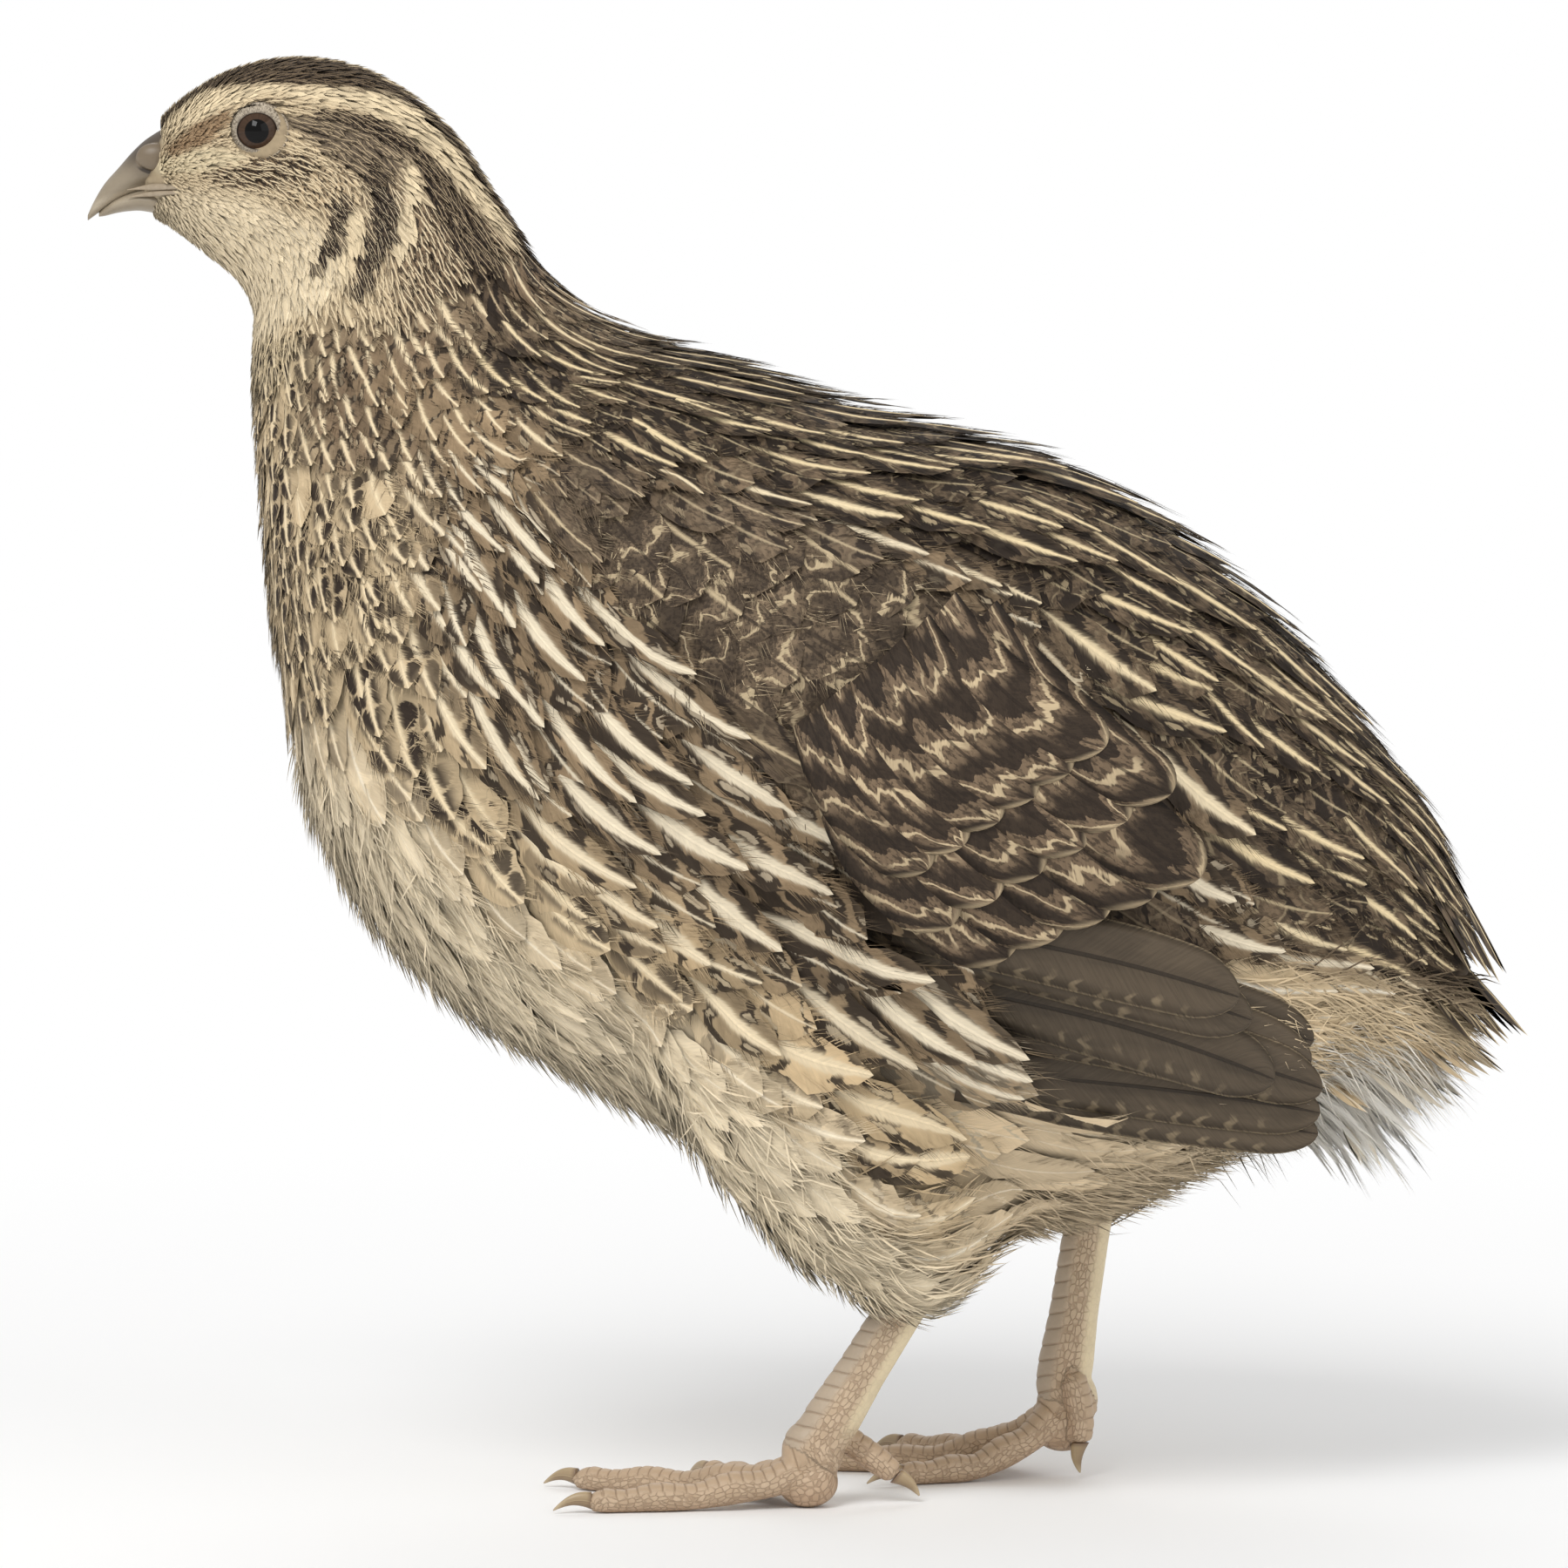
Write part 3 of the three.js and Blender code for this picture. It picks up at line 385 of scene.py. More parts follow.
def lay(t, phi, length, half, heading, low, high, rows=8, columns=4, root=0.6, tip=0.45, camber=0.25, ragged=0.1,
        bow=0.0, turn=0.0, lift=None, hang=0.0):
    """Lays len(t) vanes. Height above the skin is low + (high - low) s^0.8, less camber (across)^2 of the
    half-width. bow bends the middle line, turn adds to the heading from root to tip, and hang lets the tip
    sink by so many mm."""
    n = len(t)
    s = np.linspace(0, 1, rows + 1)
    walk = [(t, phi)]
    sides = []
    for k in range(rows + 1):
        now = heading + turn * s[k] + bow * math.cos(math.pi * s[k])
        (run_t, run_phi), side = slope_steps(walk[-1][0], walk[-1][1], now)
        sides.append(side)
        walk.append((walk[-1][0] + run_t * length / rows, walk[-1][1] + run_phi * length / rows))
    across = np.linspace(-1, 1, columns + 1)
    wide = columns + 2
    points = np.zeros((n, (rows - 1) * wide + 2, 3))
    lie = np.zeros_like(points)
    vane = np.zeros((n, (rows - 1) * wide + 2, 2))
    for k in range(1, rows):
        share = width_share(s[k], root, tip)
        rough = 1 + ragged * rng.normal(size=(n, columns + 1)) * (np.abs(across) > 0.4)
        off = half[:, None] * share * across * rough
        late = ragged * 0.25 * rng.normal(size=(n, columns + 1)) * length[:, None] / rows
        tt = walk[k][0][:, None] + sides[k][0][:, None] * off
        pp = walk[k][1][:, None] + sides[k][1][:, None] * off
        place, out, _, _ = on_skin(tt, pp)
        height = low[:, None] + (high - low)[:, None] * s[k] ** 0.8 - camber * half[:, None] * across**2 * share
        height = np.maximum(height + 0.06 * late, 0.02)
        if lift is not None:
            height = height + lift(place) * step(s[k], 0.1, 0.7)
        top = place + out * height[..., None]
        top[..., 2] -= (hang * s[k] ** 2)[:, None] if np.ndim(hang) else hang * s[k] ** 2
        a = (k - 1) * wide
        lie[:, a : a + columns + 1] = out
        lie[:, a + columns + 1] = out[:, columns // 2]
        points[:, a : a + columns + 1] = top
        centre_top = top[:, columns // 2]
        points[:, a + columns + 1] = centre_top - out[:, columns // 2] * (0.10 + 0.14 * half[:, None] * share)
        vane[:, a : a + columns + 1, 0] = s[k]
        vane[:, a : a + columns + 1, 1] = 0.5 + across / 2
        vane[:, a + columns + 1] = (s[k], 0.5)
    for m, k in ((0, 0), (1, rows)):
        place, out, _, _ = on_skin(*walk[k])
        height = np.where(k == 0, low, high)
        if lift is not None and k:
            height = height + lift(place)
        points[:, -2 + m] = place + out * height[:, None]
        points[:, -2 + m, 2] -= hang * k / rows
        lie[:, -2 + m] = out
        vane[:, -2 + m] = (s[k], 0.5)
    visible = walk[int(rows * 0.7)]
    seen, _, _, _ = on_skin(*visible)
    tops = points[:, : (rows - 1) * wide].reshape(n, rows - 1, wide, 3)
    facing = np.cross(tops[:, 1:, columns // 2] - tops[:, :-1, columns // 2], tops[:, 1:, columns] - tops[:, 1:, 0])
    upright = (unit(facing) * lie[:, : (rows - 2) * wide : wide]).sum(-1).min(1)
    lie = unit(lie + lie.mean(1, keepdims=True))
    return {"upright": upright, "points": points, "vane": vane, "root": (t, phi), "seen": seen, "rows": rows, "columns": columns,
            "at": visible, "lie": lie, "half": half, "shape": (root, tip)}


def fringed(laid, count, reach, thick=0.055, start=0.35, advance=0.2):
    """Adds loose barbs round each vane, as needles of four points that start inside its edge and run out and
    forward past it. Each keeps the place in the pattern of the spot it leaves."""
    points, rows, columns = laid["points"], laid["rows"], laid["columns"]
    n, wide = len(points), columns + 2
    half = laid["half"]
    tops = points[:, : (rows - 1) * wide].reshape(n, rows - 1, wide, 3)
    line = np.concatenate([points[:, -2, None], tops[:, :, columns // 2], points[:, -1, None]], 1)
    sideways = unit(tops[:, :, columns] - tops[:, :, 0])
    sideways = np.concatenate([sideways[:, :1], sideways, sideways[:, -1:]], 1)
    s0 = start + (0.985 - start) * rng.random((n, count)) ** 0.7
    sign = np.where(rng.random((n, count)) < 0.5, -1.0, 1.0)
    edge = half[:, None] * width_share(s0, *laid["shape"])
    w0 = sign * edge * (0.45 + 0.4 * rng.random((n, count)))
    w1 = sign * (edge + reach * half[:, None] * (0.15 + 0.85 * rng.random((n, count))))
    s1 = s0 + advance * (0.6 + 0.6 * rng.random((n, count)))
    pick = np.arange(n)[:, None]

    def spot(s, w):
        at = np.clip(s, 0, 1) * rows
        i = np.minimum(at.astype(int), rows - 1)
        f = (s * rows - i)[..., None]
        middle = line[pick, i] * (1 - f) + line[pick, i + 1] * f
        return middle + sideways[pick, i] * w[..., None]

    a, b = spot(s0, w0), spot(s1, w1)
    out = laid["lie"][:, -1, None]
    b = b + out * (0.02 + 0.16 * rng.random((n, count)) - 0.05)[..., None]
    a = a + out * 0.02
    along = unit(b - a)
    across = unit(np.cross(out, along)) * thick
    needle = np.stack([a + across, a - across, a - out * thick, b], 2).reshape(n, -1, 3)
    inner = np.stack([s0, 0.5 + 0.5 * w0 / edge], -1)
    outer = np.stack([np.minimum(s0 + 0.06, 0.985), 0.5 + 0.47 * sign], -1)
    vane = np.stack([inner, inner, inner, outer], 2).reshape(n, -1, 2)
    laid["points"] = np.concatenate([points, needle], 1)
    laid["vane"] = np.concatenate([laid["vane"], vane], 1)
    laid["lie"] = np.concatenate([laid["lie"], np.repeat(out, needle.shape[1], 1)], 1)
    laid["barbs"] = count
    return laid


NEEDLE = np.array([[0, 1, 3], [1, 2, 3], [2, 0, 3], [0, 2, 1]])


def lattice(start, end, around, pitch, jitter=0.12):
    """Roots in staggered rows: rows are pitch times as far apart as the roots are in a row, measured over the
    surface, and every second row is shifted by half a place."""
    t = np.linspace(start, end, 400)
    ring = on_skin(np.repeat(t[:, None], 64, 1), np.tile(np.arange(64) * FULL / 64, (400, 1)))
    sideways = np.linalg.norm(ring[3], axis=-1).mean(1) * FULL / around
    forward = np.linalg.norm(ring[2], axis=-1).mean(1)
    count = np.concatenate([[0], np.cumsum((forward / (sideways * pitch))[:-1] * np.diff(t))])
    rows = np.arange(int(count[-1]) + 1)
    row_t = np.interp(rows, count, t)
    tt, k = np.meshgrid(row_t, np.arange(around), indexing="ij")
    shift = (rows % 2)[:, None] * 0.5
    pp = (k + shift + jitter * rng.normal(size=tt.shape)) * FULL / around
    row_gap = np.gradient(row_t)[:, None] if len(row_t) > 1 else np.ones((1, 1))
    tt = tt + jitter * rng.normal(size=tt.shape) * row_gap
    tt, pp = tt.reshape(-1), pp.reshape(-1) % FULL
    place, out, along, round_ = on_skin(tt, pp)
    gap_across = np.linalg.norm(round_, axis=-1) * FULL / around
    gap_along = np.linalg.norm(along, axis=-1) * np.repeat(row_gap[:, 0], around)
    return tt, pp, gap_across, gap_along, np.repeat(rows % 2, around)


print("a vane of 8 rows and 4 columns has", sum(len(f) for f in vane_faces(8, 4)), "faces")

# %% [markdown]
# The markings are painted by zones of the side view, from named lines and regions in millimetres. The side
# view is how the bird looks from its left or right side and a little above, so both sides are marked alike.
# Each feather gets three colours and five amounts: how wide its pale streak is, and how much blotch, spot, bar
# and fleck it has. The skin gets the same ones, so no other colour shows where the coat parts.

# %% Zones of the markings
VIEW_DISTANCE, VIEW_RISE, AIM_HEIGHT = 1200.0, math.radians(5.4), 77.0


def side_view(p):
    """The place of a point in the side view, at the scale of the bird's middle plane."""
    near = VIEW_DISTANCE / (VIEW_DISTANCE - np.abs(p[..., 1]))
    high = (p[..., 2] - AIM_HEIGHT) * math.cos(VIEW_RISE) - np.abs(p[..., 1]) * math.sin(VIEW_RISE)
    return p[..., 0] * near, AIM_HEIGHT + high * near


def stripe(x, z, rows, soft=0.5):
    """One inside a stripe, fading over soft mm. Rows are x, z and half-width along its middle."""
    best = np.full(np.shape(x), -1e9)
    for (x0, z0, w0), (x1, z1, w1) in zip(rows, rows[1:]):
        run = np.array([x1 - x0, z1 - z0])
        h = np.clip(((x - x0) * run[0] + (z - z0) * run[1]) / (run @ run), 0, 1)
        gap = np.hypot(x - x0 - h * run[0], z - z0 - h * run[1])
        best = np.maximum(best, w0 + h * (w1 - w0) - gap)
    return step(best, -soft, soft)


def above(x, z, line, soft=2.0):
    """One above a line of (x, z) places, zero below it."""
    xs, zs = np.array(line).T
    return step(z - np.interp(x, xs, zs), -soft, soft)


def behind(x, z, line, soft=2.0):
    """One behind a line of (z, x) places, zero before it."""
    zs, xs = np.array(line).T
    return step(x - np.interp(z, zs, xs), -soft, soft)


BROW_STRIPE = [
    (-68.6, 146.0, 1.6), (-64.2, 147.9, 1.3), (-60.7, 149.0, 0.8), (-57.4, 149.8, 0.4), (-54.0, 149.3, 0.6),
    (-49.0, 149.0, 0.9), (-45.0, 148.1, 1.2), (-41.9, 146.2, 1.3), (-38.8, 143.2, 1.1), (-36.0, 139.5, 0.9),
    (-32.6, 134.6, 0.6),
]
LORES = [(-67.0, 143.4, 0.6), (-64.4, 145.0, 1.2), (-62.0, 146.9, 0.9)]
FACE_PATCH = [(-68.4, 141.8, 0.8), (-64.0, 142.6, 1.3), (-60.6, 142.8, 0.6)]
MALAR = [(-63.0, 141.0, 0.5), (-60.4, 140.9, 1.2), (-57.0, 141.2, 1.5), (-53.8, 141.6, 1.0)]
UNDER_EYE = [(-56.0, 142.9, 0.5), (-53.2, 142.5, 0.9)]
CHEEK_SPOTS = [(-55.0, 139.0, 1.2), (-51.5, 139.5, 2.0), (-49.4, 141.5, 1.2)]
EAR_PATCH = [(-53.8, 146.4, 0.8), (-50.6, 145.3, 2.2), (-47.6, 143.9, 2.7), (-45.6, 141.9, 2.0)]
NECK_STRIPE = [(-52.6, 147.4, 0.4), (-47.0, 146.6, 0.8), (-43.5, 144.3, 1.1), (-40.2, 140.9, 1.5), (-37.6, 136.6, 1.8),
               (-34.5, 131.0, 1.8), (-32.5, 127.0, 1.2)]
COLLAR_FRONT = [(-49.5, 138.8, 0.7), (-50.0, 136.2, 1.1), (-50.8, 133.4, 1.0), (-52.2, 131.6, 0.6)]
COLLAR_REAR = [(-46.4, 141.6, 1.0), (-45.4, 138.6, 1.5), (-45.2, 135.6, 1.5), (-46.4, 132.6, 1.1), (-47.8, 129.6, 0.8)]
CREAM_CRESCENT = [(-42.6, 142.0, 0.7), (-42.2, 138.9, 1.0), (-42.6, 135.8, 0.9), (-43.8, 133.0, 0.5)]
CREAM_BETWEEN = [(-48.0, 137.4, 0.6), (-48.2, 134.6, 0.8), (-49.4, 131.8, 0.8)]
CROWN_LINE = [(-70, 145.2), (-67.7, 147.3), (-64.0, 149.2), (-60.6, 150.0), (-56.1, 150.3), (-52.1, 150.1), (-46.4, 149.3),
              (-42.4, 147.5), (-39.0, 144.7), (-35.9, 141.1), (-33.0, 136.8), (-29.0, 131.0)]
VENT_LINE = [(18, 38), (36, 47), (42, 56), (47, 59), (53.5, 57), (63, 55.5), (70, 52), (80, 45)]
THROAT_EDGE = [(118.0, -62.0), (124.0, -58.6), (126.5, -52.5), (130.0, -49.8), (135.0, -48.2), (139.0, -47.0), (150.0, -47.0)]
BELLY_LINE = [(-64, 95.0), (-58, 88.0), (-53.0, 82.0), (-44.2, 76.0), (-33.0, 63.5), (-20.9, 55.0), (-8.8, 47.0), (2.3, 38.5),
              (7, 31.0), (16.3, 26.5), (29.3, 33.0), (45, 37.0), (70, 42.0)]
LOW_FLANK_LINE = [(-60, 104.0), (-44.0, 90.0), (-33.0, 77.0), (-21.0, 67.0), (-9.0, 59.0), (2.0, 51.0), (16.0, 42.0),
                  (30.0, 44.0), (60, 48.0)]
FLANK_LINE = [(36.0, 6.0), (53.0, -10.5), (67.0, -25.0), (81.0, -36.2), (95.0, -41.0), (115.0, -40.5), (122.0, -38.0)]
BACK_LINE = [(-60, 140.0), (-36.0, 119.0), (-22.0, 110.0), (-10.0, 107.5), (8.0, 102.5), (24.0, 95.0), (36.0, 84.0),
             (42.0, 74.0), (46.0, 64.0), (55.0, 57.0), (80.0, 47.0)]

CROWN_BROWN, CROWN_DARK = linear(86, 72, 57), linear(38, 30, 24)
CREAM, EAR_GREY = linear(226, 206, 170), linear(108, 94, 77)
CHEEK, THROAT, SOOT = linear(188, 167, 134), linear(222, 205, 174), linear(46, 36, 29)
NECK_BROWN, NECK_BUFF = linear(128, 108, 85), linear(150, 128, 99)
BREAST_BUFF, BREAST_SPOT = linear(200, 178, 143), linear(54, 44, 36)
FLANK_BROWN, FLANK_BLACK, FLANK_WHITE = linear(142, 121, 94), linear(50, 41, 33), linear(226, 212, 185)
TUFT_WHITE = linear(250, 245, 234)
LOW_FLANK_BUFF = linear(206, 181, 142)
BELLY, BELLY_REAR = linear(232, 215, 184), linear(214, 193, 160)
BACK_BROWN, BACK_BLACK, BACK_CREAM = linear(112, 95, 75), linear(40, 32, 26), linear(222, 201, 160)
WING_BROWN, WING_DARK, WING_PALE = linear(118, 101, 81), linear(50, 41, 34), linear(196, 176, 142)
DOWN_BUFF, DOWN_WHITE = linear(220, 197, 160), linear(240, 230, 210)


class Looks:
    """What each feather's pattern is made of, painted zone over zone: a mask mixes the new values in."""

    def __init__(self, count):
        self.colours = {key: np.zeros((count, 3)) for key in ("ground", "dark", "pale")}
        self.amounts = {key: np.zeros(count) for key in ("streak", "blotch", "spot", "bars", "fleck")}

    def paint(self, mask, **values):
        for key, value in values.items():
            if key in self.colours:
                field = self.colours[key]
                field += mask[:, None] * (value - field)
            else:
                field = self.amounts[key]
                field += mask * (value - field)


def belly_share(x, z, t, phi):
    """One on the unmarked belly, zero above it."""
    low = 1 - above(x, z, BELLY_LINE, 5.0)
    return np.maximum(low, step(-np.cos(phi), 0.72, 0.95) * step(t, 10.5, 12.5))


def markings(p, t, phi):
    """The zones, from the largest to the smallest, at points p whose places on the skin are t and phi."""
    x, z = side_view(p)
    out = np.abs(p[:, 1])
    looks = Looks(len(p))
    all_of_it = np.ones(len(p))
    looks.paint(all_of_it, ground=FLANK_BROWN, dark=FLANK_BLACK, pale=FLANK_WHITE, streak=0.24, blotch=0.70, fleck=0.2)
    breast = (1 - behind(x, z, FLANK_LINE, 5.0)) * (z < 128)
    looks.paint(breast, ground=BREAST_BUFF, dark=BREAST_SPOT, pale=CREAM, streak=0.10, blotch=0.0, spot=1.0, fleck=0.0)
    low_flank = (1 - above(x, z, LOW_FLANK_LINE, 7.0)) * behind(x, z, FLANK_LINE, 8.0)
    looks.paint(low_flank * 0.9, ground=LOW_FLANK_BUFF, pale=CREAM, streak=0.24, blotch=0.38, fleck=0.0)
    belly = belly_share(x, z, t, phi)
    looks.paint(belly, ground=BELLY, dark=BELLY_REAR, pale=DOWN_WHITE, streak=0.0, blotch=0.0, spot=0.0, fleck=0.0)
    neck = step(z, 106, 114) * step(x, -54.5, -50.5) * (1 - step(z, 131, 135))
    looks.paint(neck, ground=NECK_BROWN, dark=FLANK_BLACK, pale=CREAM, streak=0.11, blotch=0.55, spot=0.0, fleck=0.15)
    collar = step(z, 116, 122) * (1 - step(z, 128, 132)) * (1 - step(x, -56, -52))
    looks.paint(collar, ground=linear(206, 186, 150), dark=FLANK_BLACK, pale=CREAM, streak=0.12, blotch=0.0, spot=1.0)
    shoulder = stripe(x, z, [(-43, 118, 3.5), (-33, 113, 5.5), (-24, 111, 3.5)], 2.5)
    looks.paint(shoulder * 0.8, ground=NECK_BUFF, streak=0.08, blotch=0.15)
    back = above(x, z, BACK_LINE, 3.0) * step(x, -40, -33)
    looks.paint(back, ground=BACK_BROWN, dark=BACK_BLACK, pale=BACK_CREAM, streak=0.13, blotch=0.72, spot=0.0,
                bars=0.45, fleck=0.7)
    hind_neck = step(z, 120, 130) * step(x, -46, -42)
    looks.paint(hind_neck, ground=NECK_BROWN, dark=FLANK_BLACK, pale=CREAM, streak=0.15, blotch=0.55, bars=0.0, fleck=0.3)
    _, off, past = wing_place(p[:, 0], p[:, 2])
    wing = step(1 - off**2 - past**2, 0.02, 0.2) * step(out, 8, 14)
    looks.paint(wing, ground=WING_BROWN, dark=WING_DARK, pale=WING_PALE, streak=0.045, blotch=0.35, spot=0.0,
                bars=0.35, fleck=0.9)
    shoulder_wing = wing * (1 - above(x, z, [(-40, 112), (-20, 106), (0, 97), (20, 86), (40, 74)], 4.0))
    looks.paint(shoulder_wing, blotch=0.18, bars=0.42, fleck=0.75)
    vent = step(x, 18, 30) * (1 - above(x, z, VENT_LINE, 2.5))
    looks.paint(vent, ground=DOWN_BUFF, dark=BACK_BROWN, pale=DOWN_WHITE, streak=0.1, blotch=0.05, bars=0.0, fleck=0.0)
    under = step(x, 12, 22) * step(-np.cos(phi), 0.2, 0.6)
    looks.paint(under, ground=BELLY_REAR, dark=BELLY, pale=DOWN_WHITE, streak=0.0, blotch=0.0, fleck=0.0)
    head = step(z, 123, 128) * (1 - hind_neck)
    looks.paint(head, ground=CHEEK, dark=linear(92, 76, 60), pale=CREAM, streak=0.16, blotch=0.3, spot=0.0, bars=0.0,
                fleck=0.2)
    throat = (1 - behind(x, z, THROAT_EDGE, 1.0)) * (z > 120) * (1 - above(x, z, [(-72, 140), (-60, 139), (-52, 136), (-47, 132)], 1.5))
    throat *= 1 - behind(x, z, [(118, -61.5), (124, -56), (140, -46)], 1.5) * (z < 127)
    looks.paint(throat, ground=THROAT, dark=CHEEK, pale=CREAM, streak=0.15, blotch=0.1, spot=0.0, fleck=0.0)
    for rows, values in (
        (CHEEK_SPOTS, dict(ground=linear(176, 154, 122), dark=SOOT, blotch=0.45)),
        (UNDER_EYE, dict(ground=linear(150, 130, 102), dark=SOOT, blotch=0.6)),
        (MALAR, dict(ground=linear(120, 99, 74), dark=SOOT, blotch=0.9)),
        (EAR_PATCH, dict(ground=EAR_GREY, dark=linear(66, 56, 46), pale=CHEEK, streak=0.1, blotch=0.35, fleck=0.4)),
        (NECK_STRIPE, dict(ground=linear(92, 77, 61), dark=CROWN_DARK, pale=CHEEK, streak=0.08, blotch=0.85)),
        (FACE_PATCH, dict(ground=linear(208, 192, 158), dark=CHEEK, blotch=0.0, fleck=0.0)),
        (LORES, dict(ground=linear(156, 129, 98), dark=linear(104, 80, 58), blotch=0.35, streak=0.0)),
        (COLLAR_FRONT, dict(ground=linear(82, 68, 54), dark=CROWN_DARK, blotch=0.9, streak=0.03)),
        (COLLAR_REAR, dict(ground=linear(82, 68, 54), dark=CROWN_DARK, blotch=0.9, streak=0.03)),
        (CREAM_CRESCENT, dict(ground=CREAM, dark=CHEEK, blotch=0.0, fleck=0.0)),
        (CREAM_BETWEEN, dict(ground=CREAM, dark=CHEEK, blotch=0.0, fleck=0.0)),
    ):
        looks.paint(stripe(x, z, rows) * (out > 2.5), **values)
    brow = stripe(x, z, BROW_STRIPE, 0.4) * step(out, 2.0, 3.2)
    crown = above(x, z, CROWN_LINE, 0.5) * step(z, 130, 134)
    crown = np.maximum(crown, (1 - step(out, 2.2, 3.4)) * above(x, z, [(-71, 141), (-60, 141), (-59, 120), (-29, 131)], 0.5))
    looks.paint(crown * (z > 131), ground=CROWN_BROWN, dark=CROWN_DARK, pale=NECK_BUFF, streak=0.08, blotch=0.9, fleck=0.3)
    looks.paint(brow, ground=CREAM, dark=CHEEK, pale=CREAM, streak=0.0, blotch=0.0, spot=0.0, fleck=0.0)
    middle_stripe = (1 - step(out, 0.5, 1.1)) * step(z, 136, 140) * (np.cos(phi) > 0.3)
    looks.paint(middle_stripe, ground=CREAM, dark=CHEEK, blotch=0.1)
    return looks


print("zones of the side view:", len(BROW_STRIPE), "rows in the brow stripe")

# %% [markdown]
# Shaders are written as sums. One small class wraps a socket, so that + and * add Math nodes, and a kit makes
# every other node from its type, its settings and its inputs. A feather's pattern is then a formula of where
# one is on its vane: along from root to tip, and across from edge to edge.

# %% Writing shaders as formulas
class Wire:
    """A shader socket that Python's signs work on."""

    def __init__(self, kit, socket):
        self.kit, self.socket = kit, socket

    def maths(self, operation, *values):
        return self.kit.node("ShaderNodeMath", {"operation": operation}, *values)

    def __add__(self, other):
        return self.maths("ADD", self, other)

    def __sub__(self, other):
        return self.maths("SUBTRACT", self, other)

    def __rsub__(self, other):
        return self.maths("SUBTRACT", other, self)

    def __mul__(self, other):
        return self.maths("MULTIPLY", self, other)

    def __truediv__(self, other):
        return self.maths("DIVIDE", self, other)

    __radd__, __rmul__ = __add__, __mul__

    def size(self):
        return self.maths("ABSOLUTE", self)

    def wave(self):
        return self.maths("SINE", self)

    def part(self):
        return self.maths("FRACT", self)

    def most(self, other):
        return self.maths("MAXIMUM", self, other)

    def least(self, other):
        return self.maths("MINIMUM", self, other)

    def step(self, low, high):
        """Zero to one between low and high; high below low turns it round."""
        return self.kit.node("ShaderNodeMapRange", {"interpolation_type": "SMOOTHSTEP"}, self, low, high)


class Kit:
    """One material and the nodes in it."""

    def __init__(self, name):
        self.material = bpy.data.materials.new(name)
        self.material.use_nodes = True
        self.tree = self.material.node_tree
        self.tree.nodes.clear()

    def node(self, kind, settings=None, *values, out=0, **named):
        """Adds a node: settings first, then its inputs in order, or by name or number."""
        made = self.tree.nodes.new(kind)
        for key, value in (settings or {}).items():
            setattr(made, key, value)
        for key, value in [*enumerate(values), *named.items()]:
            if value is None:
                continue
            socket = made.inputs[int(key[1:]) if isinstance(key, str) and key[0] == "n" and key[1:].isdigit() else key]
            if isinstance(value, Wire):
                self.tree.links.new(value.socket, socket)
            elif isinstance(value, np.ndarray):
                socket.default_value = (*value, 1.0)
            else:
                socket.default_value = value
        return Wire(self, made.outputs[out]) if len(made.outputs) else None

    def blend(self, a, b, share):
        """Colour a where share is 0 and b where it is 1."""
        return self.node("ShaderNodeMix", {"data_type": "RGBA"}, share, out=2, n6=a, n7=b)

    def scaled(self, colour, factor):
        """A colour times a number."""
        return self.node("ShaderNodeVectorMath", {"operation": "SCALE"}, colour, Scale=factor)

    def parts(self, vector):
        """The three numbers of a vector or a colour."""
        made = self.node("ShaderNodeSeparateXYZ", None, vector)
        return [Wire(self, made.socket.node.outputs[k]) for k in range(3)]

    def joined(self, x, y, z):
        return self.node("ShaderNodeCombineXYZ", None, x, y, z)

    def attribute(self, name):
        return self.node("ShaderNodeAttribute", {"attribute_name": name})

    def noise(self, vector, scale=1.0, detail=2.0, rough=0.5):
        return self.node("ShaderNodeTexNoise", None, Vector=vector, Scale=scale, Detail=detail, Roughness=rough)

    def place(self):
        """Object coordinates, in metres."""
        return self.node("ShaderNodeTexCoord", None, out=3)

    def finish(self, colour, rough, height=None, distance=0.0001, strength=0.4, **constants):
        """Principled shader with a bump, and its output."""
        normal = None
        if height is not None:
            normal = self.node("ShaderNodeBump", None, Height=height, Distance=distance, Strength=strength)
        shader = self.node("ShaderNodeBsdfPrincipled", None, Normal=normal, Roughness=rough, **{"Base Color": colour}, **constants)
        self.node("ShaderNodeOutputMaterial", None, shader)
        return self.material


print("shader kit ready")

# %% [markdown]
# A feather's vane is made of barbs that leave the shaft and run out and forward. Every edge of a marking
# breaks up along them, so the formula shifts each edge by a noise that stays the same along a barb. Over the
# ground colour come, in this order, flecks, bars, blotches, the round spots of the breast, the pale streak
# down the middle and the shaft in it.

